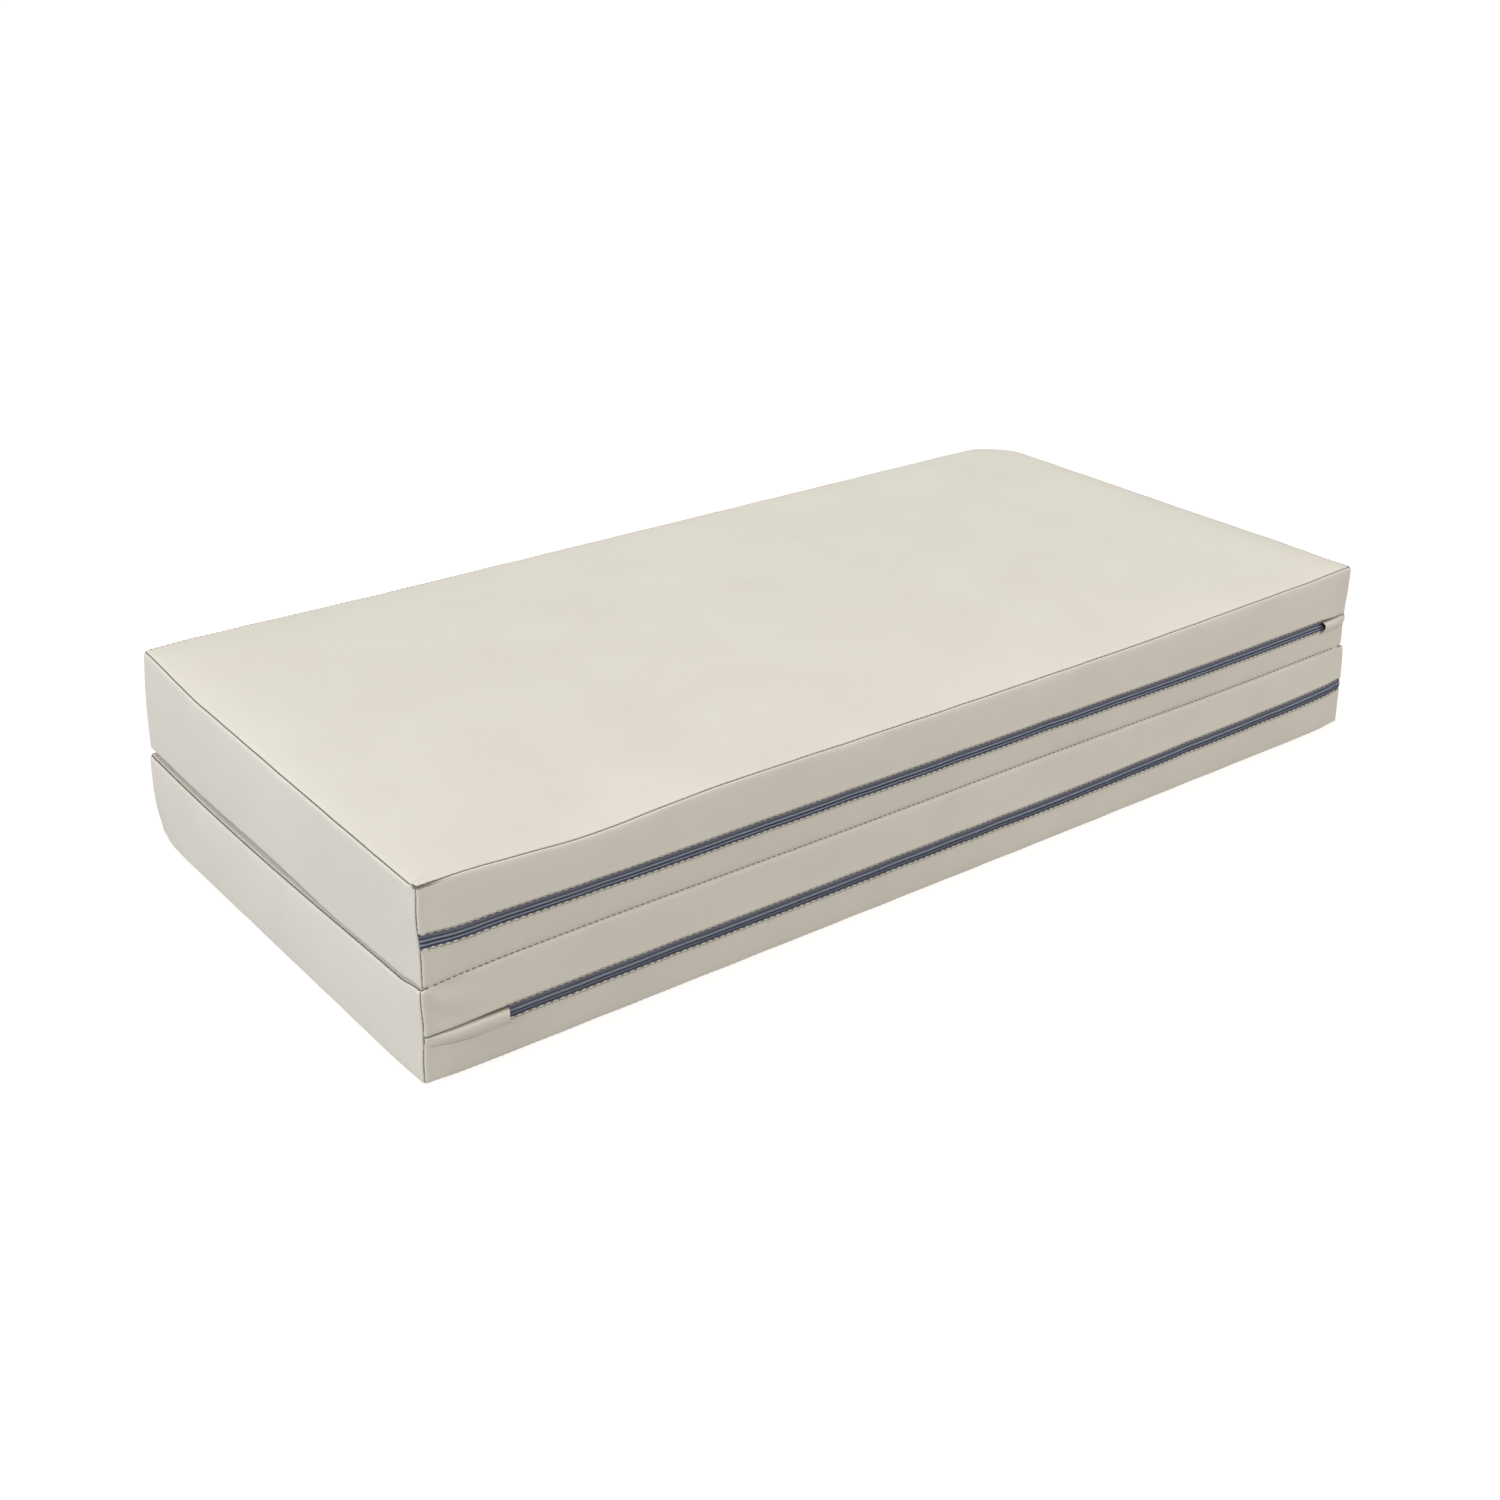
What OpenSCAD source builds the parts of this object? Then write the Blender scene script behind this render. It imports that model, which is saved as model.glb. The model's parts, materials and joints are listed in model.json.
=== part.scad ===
// Bi-fold foam mattress, folded: two foam sections in zipped covers, one on top of the other,
// joined by a hinge strip that is sewn along their front edges.
// X is the length, the zips and the hinge face -Y, and Z is up.
// The origin is on the floor, under the middle of the folded mattress.
// Folded, the upper section stays open by a degree, so its rear edge stands clear of the lower one.

/* [Mattress] */
// Length of both sections
mattress_length = 1200; // [900:10:1600]
// Depth of the folded mattress, zip flaps included
mattress_depth = 600; // [450:10:800]
// Height of the two sections when they lie flat on each other
folded_height = 200; // [190:2:240]
// Space between the folded sections
section_gap = 0.8; // [0.6:0.1:2]
// Radius of the upright corners, seen from above
corner_r = 5; // [4:1:20]
// Thickness of the coated cover fabric
fabric_t = 1.2; // [0.8:0.1:1.4]

/* [Zips] */
// Height of the upper zip above the fold line
upper_zip_rise = 40; // [35:1:41]
// Depth of the lower zip below the fold line
lower_zip_drop = 55; // [54:1:60]
// Height of the opening that shows the zip
zip_opening = 13; // [12:0.5:15]
// Length of the flap over the upper slider, from the end of the mattress
upper_garage_length = 46; // [45:1:90]
// Length of the flap over the lower slider, from the end of the mattress
lower_garage_length = 83; // [60:1:110]

/* [Hinge] */
// Angle at which the folded mattress stays open, in degrees
fold_opening = 1; // [0:0.25:2]
// Height of the hinge strip that joins the two covers
hinge_strip_height = 16; // [12:1:24]

/* [Hidden] */
// Outer faces of the covers
thread_t = 0.4;
zip_proud = 5;
face_x = mattress_length / 2 - thread_t;
rear_y = mattress_depth / 2 - thread_t;
flap_y = -mattress_depth / 2;
front_y = flap_y + zip_proud;
corner_x = face_x - corner_r;

// Heights
fold_z = folded_height / 2;
hinge_y = flap_y + 2;
section_height = fold_z - section_gap / 2;
lower_z = 0;
upper_z = fold_z + section_gap / 2;
lower_zip_z = fold_z - lower_zip_drop;
upper_zip_z = fold_z + upper_zip_rise;

// Seams
thread_w = 0.8;
seam_inset = 2.5;
seam_end_gap = 5;
zip_seam_inset = 1.5;

// Zip, measured in from the outer face of the flap
coil_front = 4.3;
coil_inner = 0.6;
coil_outer = 2.4;
tape_front = zip_proud + fabric_t;
tape_t = 0.6;
tape_outer = 16;
tape_back = tape_front + tape_t;
slider_channel_back = 9;
slider_channel_width = 14;

// Garage flap
garage_t = 0.8;
garage_crown_half = 6.5;
garage_foot_half = 10;
upper_garage_mouth = mattress_length / 2 - upper_garage_length;
lower_garage_mouth = -mattress_length / 2 + lower_garage_length;

// Slider
slider_length = 12;
slider_nose_r = 4.5;
slider_nose_u = 1.5;
slider_tail_width = 7.2;
slider_front = 2.8;
slider_plate_t = 1.2;
slider_back = 7.2;
slider_web_half = 0.3;
upper_slider_x = upper_garage_mouth + 4;
lower_slider_x = lower_garage_mouth - 16;

// Pull and the bridge that holds it
pivot_depth = 2.25;
pull_bar_r = 0.4;
pull_t = 0.8;
pull_length = 24;
pull_width = 6;
bridge_front = 1.1;
bridge_top_t = 0.6;
bridge_post_u = 2.2;
bridge_post_t = 1;
bridge_width = 1.4;
eye_length = 4.6;
eye_width = 3.4;

// Hinge strip, held far enough out for the opened upper section to clear it
hinge_back = zip_proud - 0.1 - sin(fold_opening) * hinge_strip_height / 2;
hinge_front = hinge_back - fabric_t;

// Colours
cover_color = "antiquewhite";
panel_color = "linen";
foam_color = "khaki";
tape_color = "slategray";
coil_color = "lightslategray";
metal_color = "dimgray";
thread_color = "tan";

// Outline of a section seen from above, pulled in by inset on every side
module plan(inset) {
    r = corner_r - inset;
    low_y = front_y + corner_r;
    high_y = rear_y - corner_r;
    translate([-corner_x, low_y - r]) square([2 * corner_x, high_y - low_y + 2 * r]);
    translate([-corner_x - r, low_y]) square([2 * (corner_x + r), high_y - low_y]);
    for (x = [-corner_x, corner_x], y = [low_y, high_y]) {
        translate([x, y]) circle(r, $fn = 64);
    }
}

// Turns the upper section up about the hinge, to where it rests when the mattress is folded
module folded_open() {
    translate([0, hinge_y, fold_z]) rotate([fold_opening, 0, 0]) {
        translate([0, -hinge_y, -fold_z]) children();
    }
}

// Frame of a zip: local x runs along the zip, y up the front face and z out of it
module at_zip(x, z) {
    translate([x, flap_y, z]) rotate([90, 0, 0]) children();
}

// Bar along the front face between the two front corner seams, from depth_a to depth_b behind the
// flap, with end_gap left free at both ends
module front_slab(z, height, depth_a, depth_b, end_gap = 0) {
    half = corner_x - end_gap;
    translate([-half, flap_y + depth_a, z]) cube([2 * half, depth_b - depth_a, height]);
}

// Foam block, with shallow channels behind the zip for its tapes and its slider
module foam_core(z, zip_z) {
    difference() {
        translate([0, 0, z + fabric_t]) {
            linear_extrude(section_height - 2 * fabric_t) plan(fabric_t);
        }
        translate([0, 0, zip_z - tape_outer]) {
            front_slab(0, 2 * tape_outer, 0, tape_back);
        }
        translate([0, 0, zip_z - slider_channel_width / 2]) {
            front_slab(0, slider_channel_width, 0, slider_channel_back);
        }
    }
}

// Flat panel of cover fabric whose lower face is at z
module panel(z) {
    translate([0, 0, z]) linear_extrude(fabric_t) plan(0);
}

// Band across one end, with its edges wrapped round both corners
module end_band(z, side) {
    translate([0, 0, z + fabric_t]) {
        linear_extrude(section_height - 2 * fabric_t) {
            intersection() {
                difference() {
                    plan(0);
                    plan(fabric_t);
                }
                translate([side * (corner_x + corner_r), 0]) {
                    square([2 * corner_r, 2 * mattress_depth], center = true);
                }
            }
        }
    }
}

// Band along the rear, between the two rear corner seams
module rear_band(z) {
    translate([-corner_x, rear_y - fabric_t, z + fabric_t]) {
        cube([2 * corner_x, fabric_t, section_height - 2 * fabric_t]);
    }
}

// Half of the front band, from z_low to z_high
module front_band(z_low, z_high) {
    front_slab(z_low, z_high - z_low, zip_proud, zip_proud + fabric_t);
}

// One of the two tapes of a zip; side is 1 above the chain and -1 below it
module zip_tape(zip_z, side) {
    width = tape_outer - coil_inner;
    middle = side * (tape_outer + coil_inner) / 2;
    front_slab(zip_z + middle - width / 2, width, tape_front, tape_back);
}

// One half of the coil chain, left open along the middle for the web of the slider
module zip_coil(zip_z, side) {
    width = coil_outer - coil_inner;
    middle = side * (coil_outer + coil_inner) / 2;
    front_slab(zip_z + middle - width / 2, width, coil_front, tape_front, thread_w);
}

// Fabric flap over a parked slider, from x_low to x_high
module zip_garage(zip_z, x_low, x_high) {
    translate([x_low, flap_y, zip_z]) rotate([90, 0, 90]) linear_extrude(x_high - x_low) {
        difference() {
            polygon([
                [zip_proud, -garage_foot_half], [0, -garage_crown_half],
                [0, garage_crown_half], [zip_proud, garage_foot_half]
            ]);
            polygon([
                [zip_proud + 1, -garage_foot_half + garage_t],
                [zip_proud, -garage_foot_half + garage_t],
                [garage_t, -garage_crown_half + garage_t],
                [garage_t, garage_crown_half - garage_t],
                [zip_proud, garage_foot_half - garage_t],
                [zip_proud + 1, garage_foot_half - garage_t]
            ]);
        }
    }
}

// Shield-shaped outline of a slider plate, with the nose towards local +x
module slider_outline() {
    translate([-slider_length / 2, -slider_tail_width / 2]) {
        square([slider_length / 2 + slider_nose_u, slider_tail_width]);
    }
    translate([slider_nose_u, 0]) circle(slider_nose_r, $fn = 48);
}

// Slider: two plates, the web that joins them through the chain, and the bridge for the pull
module zip_slider(x, zip_z, side) {
    web_u = 2;
    web_length = 3.2;
    at_zip(x, zip_z) mirror([side < 0 ? 1 : 0, 0, 0]) {
        translate([0, 0, -slider_front - slider_plate_t]) {
            linear_extrude(slider_plate_t) slider_outline();
        }
        translate([0, 0, -slider_back - slider_plate_t]) {
            linear_extrude(slider_plate_t) slider_outline();
        }
        translate([web_u, -slider_web_half, -slider_back]) {
            cube([web_length, 2 * slider_web_half, slider_back - slider_front]);
        }
        for (end = [-1, 1]) {
            translate([end * bridge_post_u - bridge_post_t / 2, -bridge_width / 2, -slider_front]) {
                cube([bridge_post_t, bridge_width, slider_front - bridge_front]);
            }
        }
        translate([-bridge_post_u, -bridge_width / 2, -bridge_front - bridge_top_t]) {
            cube([2 * bridge_post_u, bridge_width, bridge_top_t]);
        }
    }
}

// Pull: a flat tab with a rounded end, and an eye whose bar turns under the bridge
module zip_pull(x, zip_z, side) {
    end_r = pull_width / 2;
    at_zip(x, zip_z) mirror([side < 0 ? 1 : 0, 0, 0]) translate([0, 0, -pivot_depth]) {
        translate([0, eye_width / 2, 0]) rotate([90, 0, 0]) {
            cylinder(h = eye_width, r = pull_bar_r, $fn = 32);
        }
        translate([0, 0, -pull_t / 2]) linear_extrude(pull_t) {
            for (y = [-end_r, eye_width / 2]) {
                translate([-pull_bar_r, y]) square([eye_length + pull_bar_r, end_r - eye_width / 2]);
            }
            translate([eye_length, -end_r]) square([pull_length - eye_length - end_r, pull_width]);
            translate([pull_length - end_r, 0]) circle(end_r, $fn = 48);
        }
    }
}

// One loop of thread round a section at height z
module thread_loop(z) {
    translate([0, 0, z]) linear_extrude(thread_w) {
        difference() {
            plan(-thread_t);
            plan(0);
        }
    }
}

// Straight line of thread along the front face at height z
module zip_thread(x_low, x_high, z) {
    translate([x_low, front_y - thread_t, z - thread_w / 2]) {
        cube([x_high - x_low, thread_t, thread_w]);
    }
}

// All the thread of a section: its panel seams, its corner seams and the two lines along its zip
module seam_thread(outer_seam_z, inner_seam_z, z, zip_z, zip_low_x, zip_high_x) {
    thread_loop(outer_seam_z - thread_w / 2);
    difference() {
        thread_loop(inner_seam_z - thread_w / 2);
        translate([-corner_x, front_y - corner_r, inner_seam_z - thread_w]) {
            cube([2 * corner_x, 2 * corner_r, 2 * thread_w]);
        }
    }
    for (x = [-corner_x, corner_x], y = [front_y - thread_t, rear_y]) {
        translate([x - thread_w / 2, y, z + seam_end_gap]) {
            cube([thread_w, thread_t, section_height - 2 * seam_end_gap]);
        }
    }
    for (side = [-1, 1]) {
        zip_thread(zip_low_x, zip_high_x, zip_z + side * (zip_opening / 2 + zip_seam_inset));
    }
}

// Lower section
module lower_foam_core() { color(foam_color) foam_core(lower_z, lower_zip_z); }
module lower_outer_panel() { color(panel_color) panel(lower_z); }
module lower_inner_panel() { color(panel_color) panel(lower_z + section_height - fabric_t); }
module lower_left_end_band() { color(cover_color) end_band(lower_z, -1); }
module lower_right_end_band() { color(cover_color) end_band(lower_z, 1); }
module lower_rear_band() { color(cover_color) rear_band(lower_z); }
module lower_front_outer_band() {
    color(cover_color) front_band(lower_z + fabric_t, lower_zip_z - zip_opening / 2);
}
module lower_front_inner_band() {
    color(cover_color) front_band(lower_zip_z + zip_opening / 2, lower_z + section_height - fabric_t);
}
module lower_zip_outer_tape() { color(tape_color) zip_tape(lower_zip_z, -1); }
module lower_zip_inner_tape() { color(tape_color) zip_tape(lower_zip_z, 1); }
module lower_zip_outer_coil() { color(coil_color) zip_coil(lower_zip_z, -1); }
module lower_zip_inner_coil() { color(coil_color) zip_coil(lower_zip_z, 1); }
module lower_zip_garage() {
    color(cover_color) zip_garage(lower_zip_z, -corner_x + thread_w, lower_garage_mouth);
}
module lower_zip_slider() { color(metal_color) zip_slider(lower_slider_x, lower_zip_z, -1); }
module lower_zip_pull() { color(metal_color) zip_pull(lower_slider_x, lower_zip_z, -1); }
module lower_seam_thread() {
    color(thread_color) seam_thread(
        lower_z + seam_inset, lower_z + section_height - seam_inset, lower_z,
        lower_zip_z, lower_garage_mouth, corner_x - thread_w
    );
}

// Upper section
module upper_foam_core() {
    color(foam_color) folded_open() foam_core(upper_z, upper_zip_z);
}
module upper_outer_panel() {
    color(panel_color) folded_open() panel(upper_z + section_height - fabric_t);
}
module upper_inner_panel() { color(panel_color) folded_open() panel(upper_z); }
module upper_left_end_band() { color(cover_color) folded_open() end_band(upper_z, -1); }
module upper_right_end_band() { color(cover_color) folded_open() end_band(upper_z, 1); }
module upper_rear_band() { color(cover_color) folded_open() rear_band(upper_z); }
module upper_front_outer_band() {
    color(cover_color) folded_open() {
        front_band(upper_zip_z + zip_opening / 2, upper_z + section_height - fabric_t);
    }
}
module upper_front_inner_band() {
    color(cover_color) folded_open() front_band(upper_z + fabric_t, upper_zip_z - zip_opening / 2);
}
module upper_zip_outer_tape() { color(tape_color) folded_open() zip_tape(upper_zip_z, 1); }
module upper_zip_inner_tape() { color(tape_color) folded_open() zip_tape(upper_zip_z, -1); }
module upper_zip_outer_coil() { color(coil_color) folded_open() zip_coil(upper_zip_z, 1); }
module upper_zip_inner_coil() { color(coil_color) folded_open() zip_coil(upper_zip_z, -1); }
module upper_zip_garage() {
    color(cover_color) folded_open() zip_garage(upper_zip_z, upper_garage_mouth, corner_x - thread_w);
}
module upper_zip_slider() {
    color(metal_color) folded_open() zip_slider(upper_slider_x, upper_zip_z, 1);
}
module upper_zip_pull() {
    color(metal_color) folded_open() zip_pull(upper_slider_x, upper_zip_z, 1);
}
module upper_seam_thread() {
    color(thread_color) folded_open() seam_thread(
        upper_z + section_height - seam_inset, upper_z + seam_inset, upper_z,
        upper_zip_z, -corner_x + thread_w, upper_garage_mouth
    );
}

// Hinge
module hinge_strip() {
    color(cover_color) {
        front_slab(fold_z - hinge_strip_height / 2, hinge_strip_height, hinge_front, hinge_back, thread_w);
    }
}
module hinge_stitches() {
    color(thread_color) {
        front_slab(fold_z - thread_w / 2, thread_w, hinge_front - thread_t, hinge_front, thread_w);
    }
}

lower_foam_core();
lower_outer_panel();
lower_inner_panel();
lower_left_end_band();
lower_right_end_band();
lower_rear_band();
lower_front_outer_band();
lower_front_inner_band();
lower_zip_outer_tape();
lower_zip_inner_tape();
lower_zip_outer_coil();
lower_zip_inner_coil();
lower_zip_garage();
lower_zip_slider();
lower_zip_pull();
lower_seam_thread();
upper_foam_core();
upper_outer_panel();
upper_inner_panel();
upper_left_end_band();
upper_right_end_band();
upper_rear_band();
upper_front_outer_band();
upper_front_inner_band();
upper_zip_outer_tape();
upper_zip_inner_tape();
upper_zip_outer_coil();
upper_zip_inner_coil();
upper_zip_garage();
upper_zip_slider();
upper_zip_pull();
upper_seam_thread();
hinge_strip();
hinge_stitches();
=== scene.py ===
"""Looks of the bi-fold foam mattress: sewn covers, zips, thread and foam.

Every piece of a section is first built in millimetres on a flat, square-edged section, in the
coordinates (x, y, h), where h is the height above the face on which the sections meet. One smooth
field then settles the section: it sags, crowns and rounds everything that belongs to it alike, so
cloth, stitches and zip stay together. Part of that field is a cloth simulation of how the closed
cover swells over its foam. Last, the upper section is turned up about the hinge.
"""
import json
import math
from collections import namedtuple

import bpy
import numpy as np
from mathutils import Matrix, Vector


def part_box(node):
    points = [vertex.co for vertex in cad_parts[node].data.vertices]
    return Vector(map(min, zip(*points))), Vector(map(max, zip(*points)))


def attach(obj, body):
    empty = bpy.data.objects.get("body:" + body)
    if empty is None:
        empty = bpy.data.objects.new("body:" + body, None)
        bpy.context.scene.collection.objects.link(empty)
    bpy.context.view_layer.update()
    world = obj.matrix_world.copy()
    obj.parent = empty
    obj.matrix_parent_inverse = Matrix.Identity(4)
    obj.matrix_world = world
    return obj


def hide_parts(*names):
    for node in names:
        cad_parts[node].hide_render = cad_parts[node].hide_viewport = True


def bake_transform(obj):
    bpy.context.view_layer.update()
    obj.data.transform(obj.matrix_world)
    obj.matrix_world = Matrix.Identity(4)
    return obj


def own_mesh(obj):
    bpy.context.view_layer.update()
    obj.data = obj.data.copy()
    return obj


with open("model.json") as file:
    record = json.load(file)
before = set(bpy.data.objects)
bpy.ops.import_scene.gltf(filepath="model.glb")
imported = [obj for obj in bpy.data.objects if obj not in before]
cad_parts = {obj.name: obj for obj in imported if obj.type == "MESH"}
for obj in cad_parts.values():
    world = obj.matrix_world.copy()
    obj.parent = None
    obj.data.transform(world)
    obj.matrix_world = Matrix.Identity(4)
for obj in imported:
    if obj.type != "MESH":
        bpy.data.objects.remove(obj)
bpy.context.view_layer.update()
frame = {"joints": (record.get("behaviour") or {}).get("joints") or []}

MM = 0.001


# ---------------------------------------------------------------- sizes, from the frame

def span(name):
    """Lowest and highest corner of a CAD node, in millimetres."""
    low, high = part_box(name)
    return np.array(low) / MM, np.array(high) / MM


joints = {joint["name"]: joint for joint in frame["joints"]}
hinge_y, hinge_z = (value / MM for value in joints["fold_hinge"]["pos_m"][1:])
pull_axis = joints["upper_pull_flip"]["axis"]
tilt = math.atan2(pull_axis[1], -pull_axis[2])

bottom_low, bottom_high = span("lower_outer_panel")
half_x = bottom_high[0]
front_y = bottom_low[1]
rear_y = bottom_high[1]
middle_y = (front_y + rear_y) / 2
half_y = (rear_y - front_y) / 2
section_height = span("lower_inner_panel")[1][2] - bottom_low[2]
fold_gap = hinge_z - section_height
seam_x = span("lower_front_outer_band")[1][0]
opening_half = span("lower_front_inner_band")[0][2] - joints["lower_pull_flip"]["pos_m"][2] / MM
strip_end = span("hinge_strip")[1][0]
# Where the chains and tapes end, past the corner seam
zip_end = half_x - 2.0

# Thickness of the cloth and of the tape, and radius of the thread
CLOTH = 0.8
TAPE = 0.5
THREAD_R = 0.4
# Cells of a panel along and across, columns of points along the seam for each, and for each stitch
PANEL_CELLS = (97, 48)
COLUMNS_PER_CELL = 8
STITCH_COLUMNS = 4
column = 2 * half_x / (PANEL_CELLS[0] * COLUMNS_PER_CELL)
# Length of a stitch, as a share of the pitch of its row
SEAM_STITCH = 0.76
ZIP_STITCH_SHARE = 0.7

# Outline seen from above: radius at (right, rear) for each corner
CORNER_R = {(-1, -1): 5.0, (1, -1): 5.0, (-1, 1): 8.0, (1, 1): 38.0}

# Edge profiles at a panel seam: outward from the face, and down from the panel
BAND_EDGE = [(-2.45, 2.3), (-2.2, 1.35), (-1.6, 0.85), (-0.85, 1.2), (-0.3, 2.3), (-0.05, 4.4), (0, 8)]
PANEL_EDGE = [(-2.75, 2.3), (-3.0, 1.15), (-3.6, 0.55), (-4.8, 0.22), (-7.0, 0.06), (-12.0, 0)]
# Width of the triangles between that fine edge and the wide grid of the panel
PANEL_BORDER = 12
# Where the thread lies between the two
GROOVE = (-2.5, 1.0)
# Edge profile at an upright seam: distance from the seam, and outward from the face
UPRIGHT_EDGE = [(0, -1.5), (0.25, -0.7), (0.7, -0.05), (1.7, 0.4), (3.6, 0.3), (8.0, 0)]
# Height between the plain rows of a band, and how far down from the panel its gape reaches
BAND_ROW = 7
GAPE_HEIGHT = 3
# Folded edge beside a zip: distance from the opening's edge, and outward
ZIP_EDGE = [(3.5, -1.0), (0.8, -1.0), (0.2, -0.75), (0, -0.3), (0.15, 0.1), (0.6, 0.35), (1.6, 0.4),
            (4, 0.2), (9, 0)]
# The stitches along it: distance from the opening's edge, outward, and pitch
ZIP_STITCH = (1.5, 0.4)
ZIP_PITCH = 7.2
# How far its puckers reach into the opening, and how far it draws in under the garage
LIP_RIPPLE = 1.2
CLOSING = 3.0
# How much wider the opening is than in the CAD, and how far its middle lies above the chain
LIP_EASE = 0.8
ZIP_OFFSET = 1.4
# Zip tape, from the chain out: across, and outward
TAPE_SHAPE = [(0.3, -1.2), (2.5, -1.2), (2.9, -0.9), (3.3, -0.6), (4.6, -0.5), (6.0, -0.7), (7.5, -1.15),
              (16, -1.25)]
# Coil: pitch of its turns, points in a turn, radius of the wire, and sides of the wire
COIL_PITCH = 1.55
COIL_POINTS = 9
COIL_WIRE_R = 0.33
COIL_SIDES = 5
# Garage from its lower edge to its fold: up from the zip's middle, and outward
GARAGE_SHAPE = [(-10.5, 0.9), (-9, 1.6), (-6.5, 3.2), (-3.5, 4.5), (0, 4.95), (3.2, 4.6), (5.6, 3.0),
                (6.4, 1.0), (6.6, -0.5)]
# Hinge strip from the fold line up: height, and outward
STRIP_SHAPE = [(0, -1.35), (0.5, -1.2), (1.2, -1.05), (2.4, -1.0), (4.2, -1.1), (6.2, -1.2), (8.4, -1.4)]


# ---------------------------------------------------------------- small shape helpers

def smooth(value):
    """0 up to 0, 1 from 1 on, and an even rise between."""
    value = np.clip(value, 0, 1)
    return value * value * (3 - 2 * value)


def near(distance, reach):
    """1 at no distance, and an even fall to 0 at the reach."""
    return 1 - smooth(distance / reach)


def fade(distance, reach):
    """1 at no distance, and about a third of that with each reach further off."""
    return np.exp(-distance / reach)


def bell(distance, width):
    """1 at no distance, falling on both sides, to about a third at the width."""
    return np.exp(-(distance / width) ** 2)


def turn(count):
    """The angles of that many even steps once round."""
    return 2 * np.pi * np.arange(count) / count


def lengths(x, y):
    """Lengths along a line of points."""
    return np.concatenate([[0], np.cumsum(np.hypot(np.diff(x), np.diff(y)))])


def curve(points, steps):
    """A smooth line through the points, with that many steps between two of them."""
    points = np.array(points, float)
    longer = np.vstack([2 * points[0] - points[1], points, 2 * points[-1] - points[-2]])
    t = np.arange(steps)[:, None] / steps
    out = []
    for i in range(len(points) - 1):
        p0, p1, p2, p3 = longer[i:i + 4]
        out.append(0.5 * (2 * p1 + (p2 - p0) * t + (2 * p0 - 5 * p1 + 4 * p2 - p3) * t ** 2
                          + (3 * p1 - p0 - 3 * p2 + p3) * t ** 3))
    return np.vstack(out + [points[-1:]])


def grid_faces(rows, columns, closed=False):
    """Quads of a grid of rows x columns points, numbered row by row."""
    index = np.arange(rows * columns).reshape(rows, columns)
    if closed:
        index = np.column_stack([index, index[:, 0]])
    return np.stack([index[:-1, :-1], index[:-1, 1:], index[1:, 1:], index[1:, :-1]], -1).reshape(-1, 4)


def edge_loop(index):
    """What stands along the edge of a grid, once round."""
    return np.concatenate([index[0, :-1], index[:-1, -1], index[-1, :0:-1], index[:0:-1, 0]])


def round_corners(x, y):
    """Moves points of the plain rectangle, centred on 0, so that its corners are round."""
    x, y = np.array(x, float), np.array(y, float)
    for (side_x, side_y), radius in CORNER_R.items():
        p = (x * side_x - (half_x - radius)) / radius
        q = (y * side_y - (half_y - radius)) / radius
        inside = (p > 0) & (q > 0)
        p, q = np.clip(p, 0, 1), np.clip(q, 0, 1)
        x = np.where(inside, side_x * (half_x - radius + radius * p * np.sqrt(1 - q * q / 2)), x)
        y = np.where(inside, side_y * (half_y - radius + radius * q * np.sqrt(1 - p * p / 2)), y)
    return x, y


def outline():
    """The section's outline seen from above, as fine points with normals and lengths along it.

    It runs anticlockwise from the front left corner's seam."""
    xs, ys = [], []
    for (side_x, side_y), start in (((1, -1), -90), ((1, 1), 0), ((-1, 1), 90), ((-1, -1), 180)):
        radius = CORNER_R[side_x, side_y]
        angle = np.radians(start + np.linspace(0, 90, 33))
        xs.append(side_x * (half_x - radius) + radius * np.cos(angle))
        ys.append(side_y * (half_y - radius) + radius * np.sin(angle))
    start_x = -half_x + CORNER_R[-1, -1]
    xs = np.concatenate([[start_x], *xs])
    ys = np.concatenate([[-half_y], *ys]) + middle_y
    return xs, ys, lengths(xs, ys)


outline_x, outline_y, outline_s = outline()
perimeter = outline_s[-1]


def on_outline(s):
    """Points on the outline at the lengths s, and the outward normals there."""
    s = np.mod(np.asarray(s, float), perimeter)
    x, y = np.interp(s, outline_s, outline_x), np.interp(s, outline_s, outline_y)
    ahead, behind = np.mod(s + 0.4, perimeter), np.mod(s - 0.4, perimeter)
    dx = np.interp(ahead, outline_s, outline_x) - np.interp(behind, outline_s, outline_x)
    dy = np.interp(ahead, outline_s, outline_y) - np.interp(behind, outline_s, outline_y)
    size = np.hypot(dx, dy)
    return x, y, dy / size, -dx / size


# Lengths along the outline at which the four upright seams lie; the front two are on the corners
front_corner = math.pi / 4 * CORNER_R[1, -1]
front_end = 2 * (half_x - CORNER_R[1, -1]) + front_corner
straight = 2 * half_y - CORNER_R[1, -1] - CORNER_R[1, 1]
right_end = front_end + front_corner + straight + math.pi / 2 * CORNER_R[1, 1]
rear_end = right_end + 2 * half_x - CORNER_R[1, 1] - CORNER_R[-1, 1]
BANDS = {"front": (-front_corner, front_end), "right_end": (front_end, right_end),
         "rear": (right_end, rear_end), "left_end": (rear_end, perimeter - front_corner)}


# ---------------------------------------------------------------- how the covers swell

# Grid of the simulated cover: cells along and across, and rows of cells up the sides
CELLS_X, CELLS_Y, CELLS_H = 60, 30, 6
# Cells once round the sides, up to each upright seam and back to the first one
SEAM_CELLS = np.array([0, CELLS_X, CELLS_X + CELLS_Y, 2 * CELLS_X + CELLS_Y, 2 * (CELLS_X + CELLS_Y)])
# How far the simulated cloth may move, in millimetres
SWELL_CAP = 3.0
SWELL_STEPS = 20


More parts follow.
